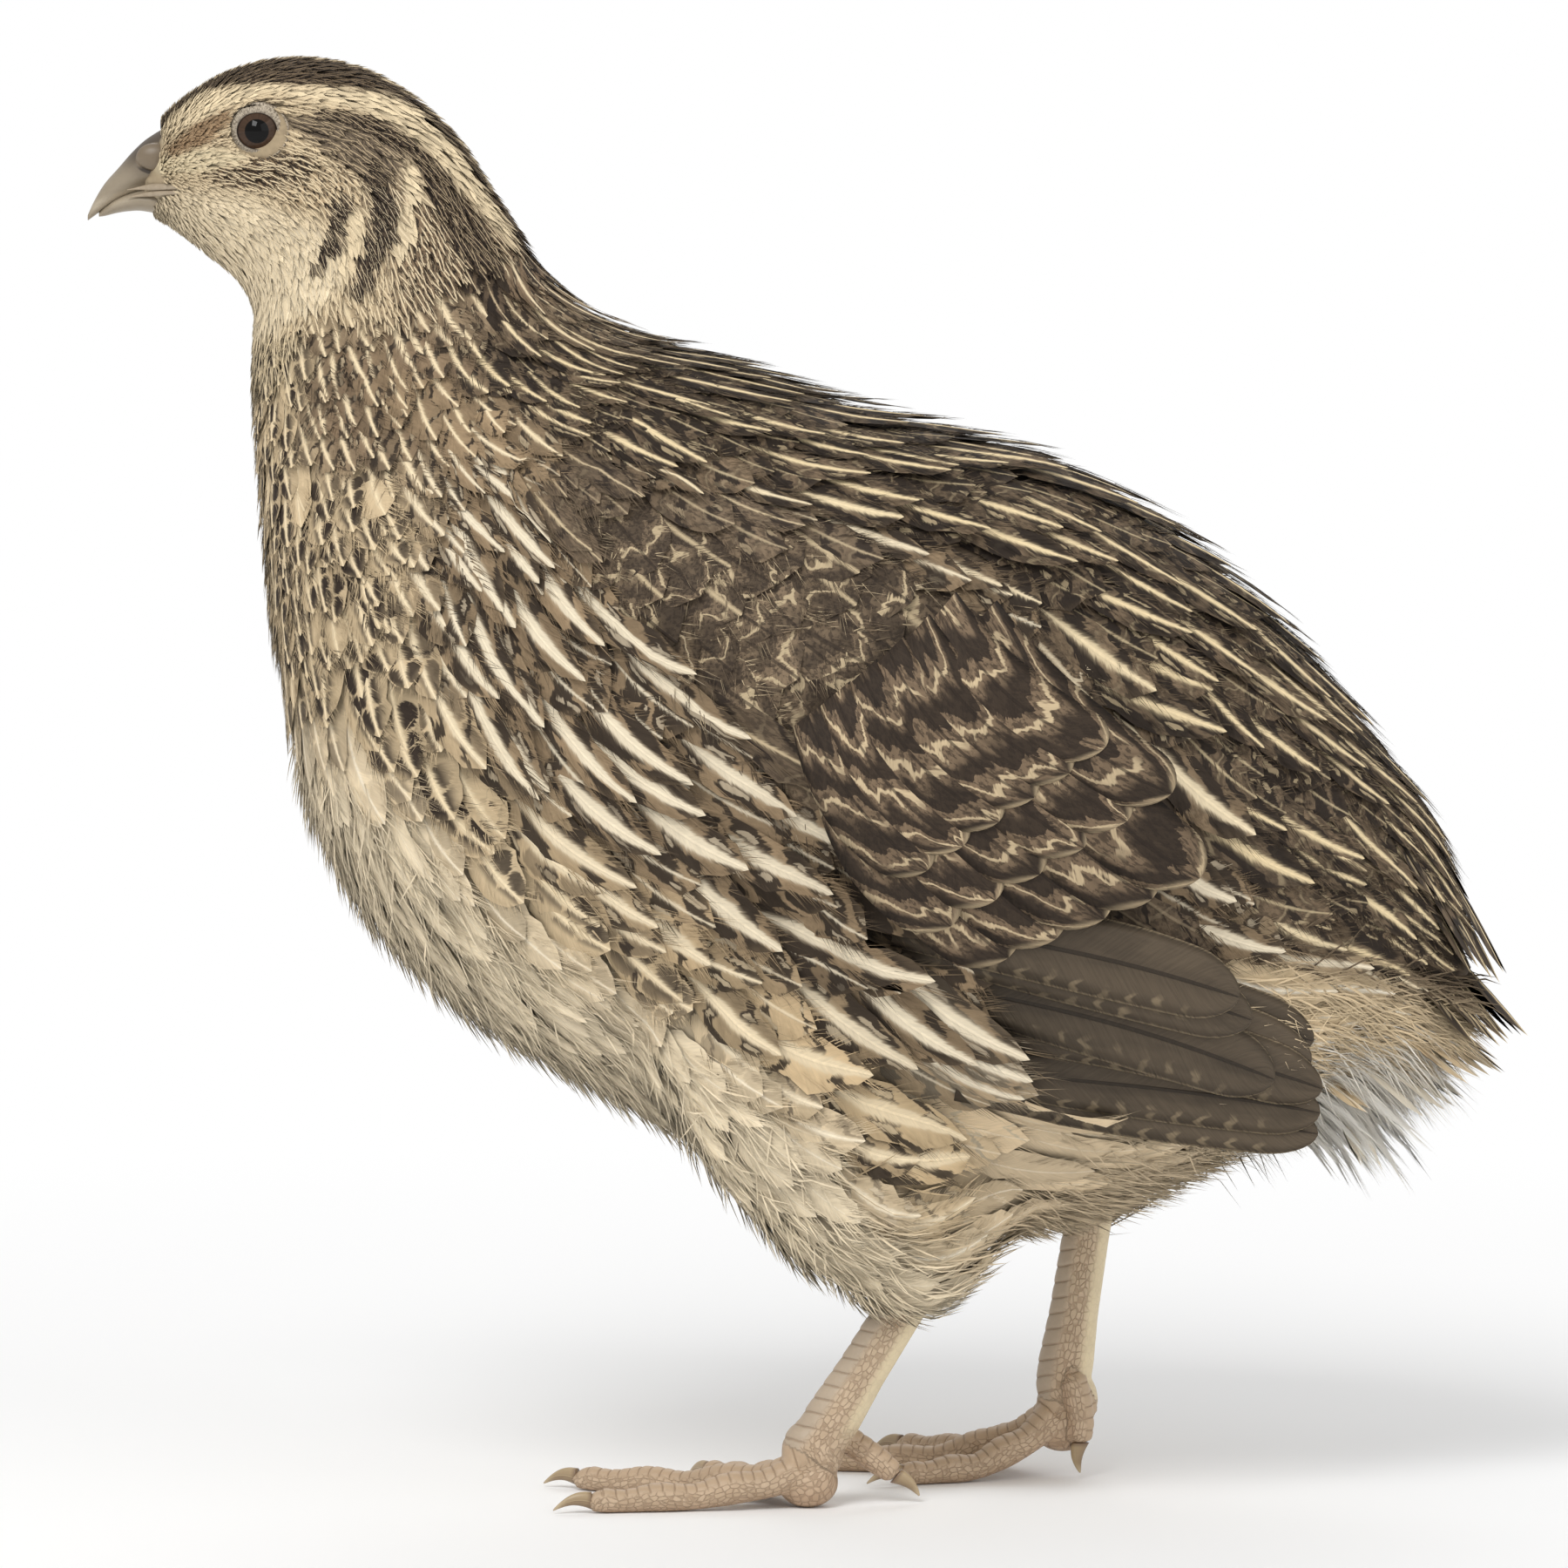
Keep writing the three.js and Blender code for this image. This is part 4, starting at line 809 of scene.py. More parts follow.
# %% Plumage
def plumage(name, barbs=36.0, slant=0.2, shade=0.4):
    """Along is 0 at the root and 1 at the tip, across is -1 and 1 at the edges and out is its size. A barb is
    where along - slant out stays the same."""
    kit = Kit(name)
    along, v, _ = kit.parts(kit.node("ShaderNodeUVMap", {"uv_map": "Vane"}))
    across = v * 2 - 1
    out = across.size()
    ground, dark, pale = (kit.attribute(key) for key in ("ground", "dark", "pale"))
    streak, blotch, spot = kit.parts(kit.attribute("marks"))
    bars, fleck, seed = kit.parts(kit.attribute("more_marks"))
    barb = along - out * slant
    hair = kit.noise(kit.joined(barb * barbs, across * 1.3, seed * 91), 1.0, 2.0, 0.7)
    cloud = kit.noise(kit.joined(along * 3.2, across * 1.4, seed * 57), 1.0, 2.0)
    rough_along = along + (hair - 0.5) * 0.16
    rough_out = out + (hair - 0.5) * 0.18

    grain = kit.noise(kit.joined(along * 15, across * 5.5, seed * 23), 1.0, 3.0, 0.65)
    flecked = grain.step(0.47, 0.56) * fleck
    colour = kit.blend(ground, dark, flecked * 0.62)

    bar_place = along * 5.2 + (across * 2.6 + seed * 40).wave() * 0.22 + cloud * 1.7
    bar = (bar_place.part() - 0.5).size() * 2
    colour = kit.blend(colour, dark, bar.step(0.30, 0.62) * bars * 0.75)
    colour = kit.blend(colour, pale, bar.step(0.80, 0.93) * bars * bars * 1.1 * cloud.step(0.35, 0.55))

    band_place = along * 2.7 + seed * 17 + cloud * 1.5 + across * 0.5 + (hair - 0.5) * 0.3
    band = (band_place.part() - 0.5).size() * 2
    level = blotch * 0.85
    blotched = band.step(level + 0.09, level - 0.09) * blotch.step(0.02, 0.10)
    pearl_along = (band_place.part() - 0.5) * 3.4
    pearl_out = (rough_out - 0.56) * 3.6
    pearl = (pearl_along * pearl_along + pearl_out * pearl_out).step(0.36, 0.16) * (seed * 77).wave().step(-0.2, 0.1)
    colour = kit.blend(colour, dark, blotched * 0.94)
    colour = kit.blend(colour, kit.blend(ground, pale, 0.5), pearl * blotched * 0.75)

    spot_along = (rough_along - 0.81).size().least((rough_along - 0.48).size()) / 0.15
    spot_out = (rough_out - 0.46) / 0.40
    one_side = (across * (seed * 37).wave()).step(-0.5, -0.1)
    spotted = (spot_along * spot_along + spot_out * spot_out).step(1.25, 0.8)
    colour = kit.blend(colour, dark, spotted * spot * one_side)

    taper = (along - 0.62) * (along - 0.62) * 3.2
    streak_width = streak * (1.12 - taper)
    frayed = out + (hair - 0.5) * 0.34 - streak_width
    streaked = frayed.step(0.10, -0.06) * streak.step(0.0, 0.04)
    colour = kit.blend(colour, kit.blend(ground, pale, 0.45), frayed.step(0.24, 0.0) * streak.step(0.0, 0.2) * 0.6)
    colour = kit.blend(colour, pale, streaked)
    shaft = out.step(0.075, 0.025) * (0.25 + streak.step(0.0, 0.1) * 0.6)
    colour = kit.blend(colour, kit.scaled(pale, 1.18), shaft)

    # lit mixes barb and cloud noise, which is the vane's own tone, with painted shade: by the amount shade, each root
    # is darkened where the feathers in front lie over it.
    lit = (0.70 + hair * 0.46 + cloud * 0.16) * (1 - shade + along.step(0.0, 0.5) * shade)
    fringe = (along + out * 0.25).step(0.93, 1.12) * 0.25
    colour = kit.blend(kit.scaled(colour, lit), ground, fringe)
    height = hair * 0.8 + out.step(0.10, 0.02) * 1.4
    return kit.finish(colour, 0.78, height, 0.00012, 0.35, **{"Specular IOR Level": 0.25})


PLUMAGE = plumage("plumage")
DOWN = plumage("down", 26.0, 0.2, 0.12)
FACE = plumage("face plumage", 22.0, 0.2, 0.12)


def skin_material():
    """The ground colour flecked with the dark one, dimmed as a painted shade under the coat, and pimpled where the
    feathers' roots sit.
    """
    kit = Kit("bare skin")
    ground, dark = kit.attribute("ground"), kit.attribute("dark")
    _, blotch, spot = kit.parts(kit.attribute("marks"))
    place = kit.place()
    cloud = kit.noise(place, 320.0, 3.0, 0.6)
    fine = kit.noise(place, 1400.0, 2.0)
    marked = cloud.step(0.50, 0.60) * (blotch + spot * 0.5).least(1.0)
    # The feathers' colours are dimmed here to between 0.6 and 0.9, with a fine grain, as a painted shade of the skin
    # that lies deep under the coat.
    colour = kit.scaled(kit.blend(ground, dark, marked), 0.60 + fine * 0.3)
    return kit.finish(colour, 0.85, fine, 0.0001, 0.5)


SKIN = skin_material()
print("plumage nodes:", len(PLUMAGE.node_tree.nodes))

# %% [markdown]
# The skin is the grid itself, closed at the face and at the tail by a fan. It replaces the solids of head,
# neck, torso, tail and thighs, and lies inside them by the coat's depth.

# %% The skin
def attributes_of(looks, seed):
    """The looks as the five attributes that the plumage formula reads."""
    amount = looks.amounts
    return {
        **looks.colours,
        "marks": np.stack([amount["streak"], amount["blotch"], amount["spot"]], -1),
        "more_marks": np.stack([amount["bars"], amount["fleck"], seed], -1),
    }


def add_skin():
    """The grid's points in rings, its unwrap, and its markings."""
    rings, round_ = skin[::2, ::2], ROUND // 2
    points = ringed(rings)
    t = np.concatenate([T[::2, ::2].reshape(-1), [0, SKIN_END]])
    phi = np.concatenate([PHI[::2, ::2].reshape(-1), [0, 0]])
    faces = tube_faces(len(rings), round_)
    looks = markings(points, t, phi)
    corners = np.concatenate([f.reshape(-1) for f in faces])
    uv = unwrapped(t, phi)[corners]
    quads = uv[: faces[0].size].reshape(-1, 4, 2)
    seam = (quads[..., 1].max(1) - quads[..., 1].min(1)) > 0.5
    quads[..., 1] += 0.98 * (seam[:, None] & (quads[..., 1] < 0.5))
    uv[: faces[0].size] = quads.reshape(-1, 2)
    ring = np.arange(round_)
    for k, (u, far) in enumerate(((0.0, 0.008), (1.0, 0.008))):
        at_end = unwrapped(np.array([0.0, SKIN_END])[k], 0.0)[0] + (far if k else -far)
        start = faces[0].size + k * round_ * 3
        fan = uv[start : start + round_ * 3].reshape(-1, 3, 2)
        fan[:, 0] = np.stack([np.full(round_, at_end), 0.01 + 0.98 * (ring + 0.5) / round_], -1)
        wrap = fan[:, 1:, 1].max(1) - fan[:, 1:, 1].min(1) > 0.5
        fan[:, 1:, 1] += 0.98 * (wrap[:, None] & (fan[:, 1:, 1] < 0.5))
        uv[start : start + round_ * 3] = fan.reshape(-1, 2)
    body = mesh_of("skin", points, faces, {"OFBake": uv}, attributes_of(looks, np.full(len(points), 0.5)))
    body.data.materials.append(SKIN)
    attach(body, "root")
    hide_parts("head", "neck", "torso", "tail", "thigh_left", "thigh_right")
    return body


body_skin = add_skin()
print("skin triangles:", len(body_skin.data.polygons) * 2)

# %% [markdown]
# The coat is laid in lengths: the head's feathers are a millimetre or two long, the neck's three times that,
# and the body's up to twenty. The number round the body changes only from length to length, so a place in the
# ring carries on as a line of streaks down the bird, as on the real one.

# %% The coat
PATCH = 0.003
DOWN_GLOW = 0.55


def coat_piece(name, laid, looks, material=PLUMAGE, replaces=(), patch=PATCH):
    """Puts laid vanes in one mesh. Each vane's patch of the OFBake map lies at its root's place on the skin's
    unwrap."""
    count, each = laid["points"].shape[:2]
    quads, fans = vane_faces(laid["rows"], laid["columns"])
    barbs = laid.get("barbs", 0)
    if barbs:
        needles = each - 4 * barbs + 4 * np.arange(barbs)[:, None, None] + NEEDLE
        fans = np.concatenate([fans, needles.reshape(-1, 3)])
    start = (np.arange(count) * each)[:, None, None]
    faces = [(quads[None] + start).reshape(-1, 4), (fans[None] + start).reshape(-1, 3)]
    root = unwrapped(*laid["root"])
    bake = root[:, None] + (laid["vane"] - 0.5) * patch
    seed = rng.random(count)
    values = {key: np.repeat(v, each, 0) for key, v in attributes_of(looks, seed).items()}
    lie = laid["lie"]
    if material is DOWN:
        lie = unit(lie + np.array([0, 0, DOWN_GLOW]))
    piece = mesh_of(
        name,
        laid["points"].reshape(-1, 3),
        faces,
        {"Vane": laid["vane"].reshape(-1, 2), "OFBake": bake.reshape(-1, 2)},
        values,
        lie=lie.reshape(-1, 3),
    )
    piece.data.materials.append(material)
    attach(piece, "root")
    if replaces:
        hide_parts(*replaces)
    triangles = count * (2 * len(quads) + len(fans))
    print(f"{name}: {count} feathers, {triangles} triangles")
    return piece


def varied(looks, amount):
    """Gives each feather a little more or less light, as no two are the same."""
    factor = 1 + amount * rng.normal(size=len(looks.colours["ground"]))[:, None]
    looks.colours["ground"] *= np.clip(factor, 0.6, 1.5)
    return looks


EYE = {"x": -57.9, "z": 146.2, "ball": 2.9, "sunk": 2.5, "iris": 2.1, "ring": 2.95}


def clear_of_eye(t, phi, length, heading, edge):
    """The share of its length that a feather may keep before it comes over the eye's ring."""
    keep = np.ones(len(t))
    tt, pp = t, phi
    for k in range(9):
        p, _, _, _ = on_skin(tt, pp)
        inside = (np.hypot(p[:, 0] - EYE["x"], p[:, 2] - EYE["z"]) < edge) & (np.abs(p[:, 1]) > 3)
        keep = np.where(inside, np.minimum(keep, k / 8), keep)
        (run_t, run_phi), _ = slope_steps(tt, pp, heading)
        tt, pp = tt + run_t * length / 8, pp + run_phi * length / 8
    return keep


BILL_EDGE = [(134.0, -66.0), (137.4, -70.3), (139.0, -68.6), (140.1, -66.4), (140.9, -68.0), (142.0, -68.6),
             (144.3, -68.0), (146.9, -68.6), (150, -68.6)]


def head_coat():
    """Rows of tiny narrow vanes from the bill back to the nape, longest on the throat and the nape."""
    t, phi, wide, long, _ = lattice(0.05, AT["nape"] + 1.2, 138, 1.0, 0.3)
    length = 1.3 + 1.3 * step(t, 0.4, 3.0) + 1.8 * step(t, 3.5, 6.0)
    length = length * (1 + 0.5 * step(-np.cos(phi), 0.3, 0.9) * step(t, 1.0, 2.5)) * (1 + 0.18 * rng.normal(size=len(t)))
    heading = 0.16 * rng.normal(size=len(t))
    p, _, _, _ = on_skin(t, phi)
    keep = clear_of_eye(t, phi, length, heading, EYE["ring"] - 0.15)
    stay = (keep > 0.35) & (behind(p[:, 0], p[:, 2], BILL_EDGE, 0.15) > 0.5)
    stay &= t < AT["nape"] + 0.1 + 1.1 * step(np.cos(phi), -0.5, 0.2)
    t, phi, wide, length, heading, keep = (a[stay] for a in (t, phi, wide, length, heading, keep))
    length = length * keep
    half = np.clip(wide * 0.56, 0.15, 0.5) * (1 + 0.15 * rng.normal(size=len(t)))
    high = curve(COAT_DEPTH, t) * (0.8 + 0.4 * rng.random(len(t))) + 0.05
    laid = lay(t, phi, length, half, heading, high * 0.12, high, rows=4, columns=2, root=0.5, tip=0.55, ragged=0.0)
    looks = varied(markings(laid["seen"], *laid["at"]), 0.13)
    by_side("head_feathers", laid, looks, FACE)


def by_side(name, laid, looks, material=PLUMAGE):
    """Puts the vanes of the left and of the right side in a piece each, without the few that a steep place of
    the skin has folded over."""
    phi = laid["root"][1]
    for side, word in ((LEFT, "left"), (RIGHT, "right")):
        mine = (np.sin(phi) * side > 0) | ((side == RIGHT) & (np.sin(phi) == 0))
        mine &= laid["upright"] > 0.25
        part = {key: (value[mine] if isinstance(value, np.ndarray) else value) for key, value in laid.items()}
        part["root"] = tuple(v[mine] for v in laid["root"])
        own = Looks(mine.sum())
        own.colours = {key: v[mine] for key, v in looks.colours.items()}
        own.amounts = {key: v[mine] for key, v in looks.amounts.items()}
        coat_piece(name + "_" + word, part, own, material)


head_coat()

# %% [markdown]
# The neck and the body come next. Breast feathers are short and round, those of the flank long with a broad
# streak, those of the back narrower and pointed. Feathers that would grow from under the folded wing are left
# out, and those round its lower edge pass over it.

# %% Neck and body
def under_wing(t, phi):
    """How far inside the wing pad's edge a root lies, one at the middle."""
    p, _, _, _ = on_skin(t, phi)
    _, off, past = wing_place(p[:, 0], p[:, 2])
    return np.where((np.abs(p[:, 1]) > 9) & (p[:, 0] < 31), 1 - off**2 - past**2, -1)


QUILLS = [(5.0, 66.0, 3.0), (13.0, 59.0, 6.5), (22.0, 51.0, 6.0), (30.0, 46.0, 2.0)]


def over_quills(p):
    """Feathers by the roots of the flight feathers rise over them, by up to 4 mm."""
    return 4.2 * stripe(p[..., 0], p[..., 2], QUILLS, 4.0) * (np.abs(p[..., 1]) > 12)


def clear_of_quills(t, phi):
    """Leaves out the last flank feathers, which would stick out over the middle of the flight feathers."""
    p, _, _, _ = on_skin(t, phi)
    return (p[:, 0] < 12.5) | (over_quills(p) < 2.2)


def in_belly(t, phi):
    """The belly's share at a root."""
    p, _, _, _ = on_skin(t, phi)
    return belly_share(*side_view(p), t, phi)


def body_coat(name, start, end, around, keep, pitch=0.9, jitter=0.14, barbs=34, material=PLUMAGE):
    """One length of the coat. Sizes come from the gaps to the neighbours and from the zone. The rows that
    carry the pale streaks lie over the rows between them."""
    t, phi, wide, long, odd = lattice(start, end, around, pitch, jitter)
    stay = keep(t, phi)
    t, phi, wide, long, odd = (a[stay] for a in (t, phi, wide, long, odd))
    p, _, _, _ = on_skin(t, phi)
    x, z = side_view(p)
    flank = behind(x, z, FLANK_LINE, 5.0) * (1 - above(x, z, BACK_LINE, 4.0)) * (1 - belly_share(x, z, t, phi))
    back = above(x, z, BACK_LINE, 4.0) * step(x, -40, -30)
    chosen = (odd == 0) * (rng.random(len(t)) < 0.62 + 0.2 * flank)
    streaky = chosen * np.maximum(flank, back)
    length = np.minimum(long, 3.2) * (3.2 + flank * 0.9 + 1.9 * streaky) * (1 + 0.14 * rng.normal(size=len(t)))
    low = belly_share(x, z, t, phi)
    half = wide * (0.70 - 0.25 * streaky - 0.28 * low) * (1 + 0.10 * rng.normal(size=len(t)))
    half = np.minimum(half, 3.0 - 1.2 * low - 0.9 * step(x, 8, 16) * (z < 58))
    heading = 0.09 * rng.normal(size=len(t))
    high = curve(COAT_DEPTH, np.minimum(t + 0.5, 19)) * (0.6 + 0.3 * rng.random(len(t)) + 0.42 * streaky)
    laid = lay(t, phi, length, half, heading, high * 0.08, high, rows=8, columns=4, root=0.5, tip=0.5,
               camber=0.14, bow=0.12, lift=over_quills)
    looks = varied(markings(laid["seen"], *laid["at"]), 0.12)
    plain = np.maximum(flank, back) * (1 - np.minimum(streaky * 1.2, 1))
    looks.amounts["streak"] *= (1 - 0.88 * plain) * (1 + 0.1 * flank * streaky)
    looks.amounts["blotch"] *= np.clip(1 + 0.25 * rng.normal(size=len(t)), 0.4, 1.25)
    looks.amounts["spot"] *= rng.random(len(t)) < 0.93
    by_side(name, fringed(laid, barbs, 0.36, 0.042), looks, material)


body_coat("neck_feathers", AT["nape"] - 0.2, AT["mantle"] + 0.6, 38,
          lambda t, phi: t > AT["nape"] - 0.2 + 0.9 * step(np.cos(phi), -0.5, 0.2), 1.0, barbs=24)
body_coat("breast_feathers", AT["neckbase"] + 0.6, AT["vent"], 46,
          lambda t, phi: (np.cos(phi) < 0.25) & (under_wing(t, phi) < 0.12) & (in_belly(t, phi) < 0.75)
          & clear_of_quills(t, phi))
body_coat("belly_feathers", AT["neckbase"] + 0.6, AT["vent"], 60,
          lambda t, phi: (np.cos(phi) < 0.25) & (under_wing(t, phi) < 0.12) & (in_belly(t, phi) > 0.35), barbs=50,
          material=DOWN)
body_coat("back_feathers", AT["neckbase"] + 0.6, AT["tailroot"] + 0.5, 46,
          lambda t, phi: ((np.cos(phi) >= 0.25) | (t > AT["vent"])) & (under_wing(t, phi) < 0.12)
          & (t < AT["tailroot"] + 0.5 * np.cos(phi)))

# %% [markdown]
# The folded wing shows three kinds of feather: small grey-brown coverts on the pad, broad barred tertials that
# hide the rest of the wing, and the long plain flight feathers that come out from under the flank. Coverts
# grow on the skin as the rest of the coat does. The large ones are laid on the same guide as their solids.

# %% Materials of the large feathers
def flight_material():
    """Grey-brown barbs, a dark shaft, small buff notches along the outer edge and a thin pale rim, with painted shade
    towards the root.
    """
    kit = Kit("flight feather")
    along, v, _ = kit.parts(kit.node("ShaderNodeUVMap", {"uv_map": "Vane"}))
    across = v * 2 - 1
    out = across.size()
    seed = kit.parts(kit.attribute("more_marks"))[2]
    ground, dark, pale = (kit.attribute(key) for key in ("ground", "dark", "pale"))
    barb = along - out * 0.10
    hair = kit.noise(kit.joined(barb * 110, across * 1.2, seed * 40), 1.0, 2.0, 0.6)
    cloud = kit.noise(kit.joined(along * 5, across * 2, seed * 60), 1.0, 2.0)
    notch = ((along * 13 + cloud * 1.6 + seed * 9).part() - 0.5).size() * 2
    edge = (across * -1 + (hair - 0.5) * 0.3).step(0.42, 0.78)
    notched = notch.step(0.62, 0.86) * edge * along.step(0.93, 0.8) * cloud.step(0.40, 0.55)
    colour = kit.blend(ground, dark, cloud.step(0.4, 0.7) * 0.35 + out.step(0.5, 0.0) * 0.25)
    colour = kit.blend(colour, pale, notched * 0.4)
    colour = kit.blend(colour, pale, (out + (hair - 0.5) * 0.05).step(0.93, 0.99) * 0.6)
    colour = kit.blend(colour, dark, out.step(0.07, 0.04) * 0.9)
    # The barb noise varies the tone, and the feather darkens towards its root as a painted shade where it runs under
    # the flank's feathers.
    colour = kit.scaled(colour, (0.62 + hair * 0.6) * (0.72 + along.step(0.1, 0.8) * 0.36))
    return kit.finish(colour, 0.6, hair + out.step(0.07, 0.03) * 1.5, 0.00014, 0.6, **{"Specular IOR Level": 0.25})


def barred_material(name, lines, black):
    """Broad feathers crossed by so many wavy cream lines, each edged with black on its tip side, over flecked
    grey. Some have a thin pale streak down the middle."""
    kit = Kit(name)
    along, v, _ = kit.parts(kit.node("ShaderNodeUVMap", {"uv_map": "Vane"}))
    across = v * 2 - 1
    out = across.size()
    seed = kit.parts(kit.attribute("more_marks"))[2]
    ground, dark, pale = (kit.attribute(key) for key in ("ground", "dark", "pale"))
    hair = kit.noise(kit.joined((along - out * 0.2) * 60, across * 1.3, seed * 40), 1.0, 2.0, 0.6)
    cloud = kit.noise(kit.joined(along * 3, across * 1.6, seed * 60), 1.0, 2.0)
    grain = kit.noise(kit.joined(along * 26, across * 9, seed * 23), 1.0, 3.0, 0.6)
    bend = (across * 2.3 + seed * 30).wave() * 0.16 + out * out * 0.75
    line = (along * lines + bend + cloud * 1.5 + (hair - 0.5) * 0.16 + seed * 7).part()
    colour = kit.blend(ground, dark, grain.step(0.46, 0.58) * 0.65)
    colour = kit.blend(colour, dark, line.step(0.40, 0.66) * black)
    colour = kit.blend(colour, pale, (line - 0.30).size().step(0.075, 0.03) * cloud.step(0.28, 0.45))
    colour = kit.blend(colour, dark, out.step(0.05, 0.03) * 0.7)
    streak = kit.parts(kit.attribute("marks"))[0]
    colour = kit.blend(colour, pale, (out - streak + (hair - 0.5) * 0.1).step(0.06, -0.03) * streak.step(0.01, 0.03))
    colour = kit.blend(colour, pale, (along + out * 0.12).step(1.0, 1.07) * 0.6)
    colour = kit.scaled(colour, 0.68 + hair * 0.56)
    return kit.finish(colour, 0.7, hair + out.step(0.06, 0.03) * 1.2, 0.00014, 0.5, **{"Specular IOR Level": 0.2})


FLIGHT = flight_material()
BARRED = barred_material("barred feather", 3.0, 0.9)
COVERT = barred_material("covert", 1.9, 0.62)

# %% The wing's coverts
def wing_coat():
    """Rows over the pad, turned a little down towards the wing's tip."""
    t, phi, wide, long, odd = lattice(AT["neckbase"], AT["rump"], 46, 0.9, 0.2)
    inside = under_wing(t, phi)
    p, _, _, _ = on_skin(t, phi)
    stay = (inside > -0.10) & (p[:, 0] < 24)
    t, phi, wide, long, odd, p = (a[stay] for a in (t, phi, wide, long, odd, p))
    length = long * 3.4 * (1 + 0.1 * rng.normal(size=len(t)))
    half = wide * 0.92 * (1 + 0.08 * rng.normal(size=len(t)))
    heading = 0.10 + 0.35 * step(p[:, 0], -20, 25) + 0.06 * rng.normal(size=len(t))
    high = 1.1 + 0.5 * rng.random(len(t))
    laid = lay(t, phi, length, half, heading, high * 0.1, high, rows=8, columns=4, root=0.5, tip=0.45, camber=0.14)
    looks = varied(markings(laid["seen"], *laid["at"]), 0.14)
    looks.amounts["streak"] = 0.05 * (rng.random(len(t)) < 0.35)
    by_side("wing_coverts", fringed(laid, 24, 0.22, 0.045), looks, COVERT)


wing_coat()

# %% Large feathers of the wing
SHINGLE = 0.95
FLIGHT_FEATHERS = [
    {"root": (15.0, 47.0), "tip": (54.2, 40.3), "half": 3.3, "bow": 0.4, "layer": 0.45},
    {"root": (16.0, 48.5), "tip": (54.4, 42.6), "half": 3.6, "bow": 0.8, "layer": 0.9},
    {"root": (14.0, 54.0), "tip": (54.6, 45.2), "half": 3.7, "bow": 2.0, "layer": 1.5},
    {"root": (13.0, 62.0), "tip": (53.6, 50.4), "half": 3.8, "bow": 1.0, "layer": 0.7},
    {"root": (12.0, 60.0), "tip": (53.4, 48.2), "half": 3.7, "bow": 1.4, "layer": 1.2},
    {"root": (12.0, 58.0), "tip": (49.4, 46.6), "half": 4.2, "bow": 1.6, "layer": 2.4},
    {"root": (9.5, 63.0), "tip": (46.8, 53.4), "half": 3.9, "bow": 1.3, "layer": 3.0},
    {"root": (8.5, 64.5), "tip": (45.4, 56.0), "half": 4.2, "bow": 1.4, "layer": 3.6},
]
TERTIAL_ROWS = [
    {"root": [(6.0, 80.0), (20.0, 92.0)], "tip": [(21.0, 61.0), (41.0, 69.0)], "half": 4.6, "layer": (4.0, 5.2), "count": 5},
    {"root": [(2.0, 83.0), (18.0, 97.0)], "tip": [(15.0, 64.5), (38.0, 78.0)], "half": 4.0, "layer": (4.7, 5.6), "count": 6},
    {"root": [(0.0, 87.0), (14.0, 98.0)], "tip": [(12.5, 70.5), (31.0, 83.0)], "half": 3.6, "layer": (5.4, 6.0), "count": 6},
]


def wing_guide(x, z):
    """How far out the wing's inner face lies: on the trunk, and drawn in evenly to the tip past its outline,
    with the greater of the two taken softly."""
    on_trunk = trunk_side(x, z) + 0.3
    run = WING_TIP["x"] - np.maximum(x, WING_TIP["bend"])
    free = WING_TIP["side"] + run * WING_TIP["flare"] - np.maximum(0, WING_TIP["bend"] - x) * WING_TIP["ease"]
    d = on_trunk - free
    return free + 0.5 * (d + np.sqrt(d * d + 4))


def side_vane(feather, side, rows, columns):
    """One large vane on the wing's guide. Its middle line runs from root to tip with a bow, its half-width is
    sin(pi (0.12 + 0.78 s^1.15))^0.6, and the height above the guide is its layer."""
    root, tip = np.array(feather["root"]), np.array(feather["tip"])
    run = tip - root
    length = np.linalg.norm(run)
    run = run / length
    s, c = np.meshgrid(1 - 0.98 * (1 - np.linspace(0, 1, rows + 1)) ** 1.7, np.linspace(-1, 1, columns + 1), indexing="ij")
    share = np.sin(np.pi * (0.12 + 0.66 * s**1.15)) ** 0.6
    share = share * np.sqrt(1.003 - np.clip((s - 0.86) / 0.14, 0, 1) ** 2)
    reach = s
    off = feather["half"] * share * c + feather["bow"] * 4 * reach * (1 - reach)
    x = root[0] + run[0] * length * reach - run[1] * off
    z = root[1] + run[1] * length * reach + run[0] * off
    sink = np.maximum(0, 0.25 - s) * 8
    high = np.maximum(0.35, feather["layer"] * SHINGLE - sink) + 0.25 * (1 - c * c) * share
    y = wing_guide(x, z) + high
    top = np.stack([x, side * y, z], -1)
    under = np.stack([x, side * (y - 0.28 * (1.05 - c * c)), z], -1)[:, columns // 2]
    return s, c, top, under


def grid_vane_faces(rows, columns, flip):
    """Faces of a vane that is a grid of rows + 1 by columns + 1 top points and a line of under points."""
    i, j = np.meshgrid(np.arange(rows), np.arange(columns), indexing="ij")
    wide = columns + 1
    a = i * wide + j
    top = np.stack([a, a + 1, a + 1 + wide, a + wide], -1).reshape(-1, 4)
    line = (rows + 1) * wide
    k = np.arange(rows)
    near = np.stack([k * wide, (k + 1) * wide, line + k + 1, line + k], -1)
    far = np.stack([k * wide + columns, line + k, line + k + 1, (k + 1) * wide + columns], -1)
    j = np.arange(columns)
    first = np.stack([np.full(columns, line), j + 1, j], -1)
    last = np.stack([np.full(columns, line + rows), rows * wide + j, rows * wide + j + 1], -1)
    faces = [np.concatenate([top, near, far]), np.concatenate([first, last])]
    return [f[:, ::-1] for f in faces] if flip else faces


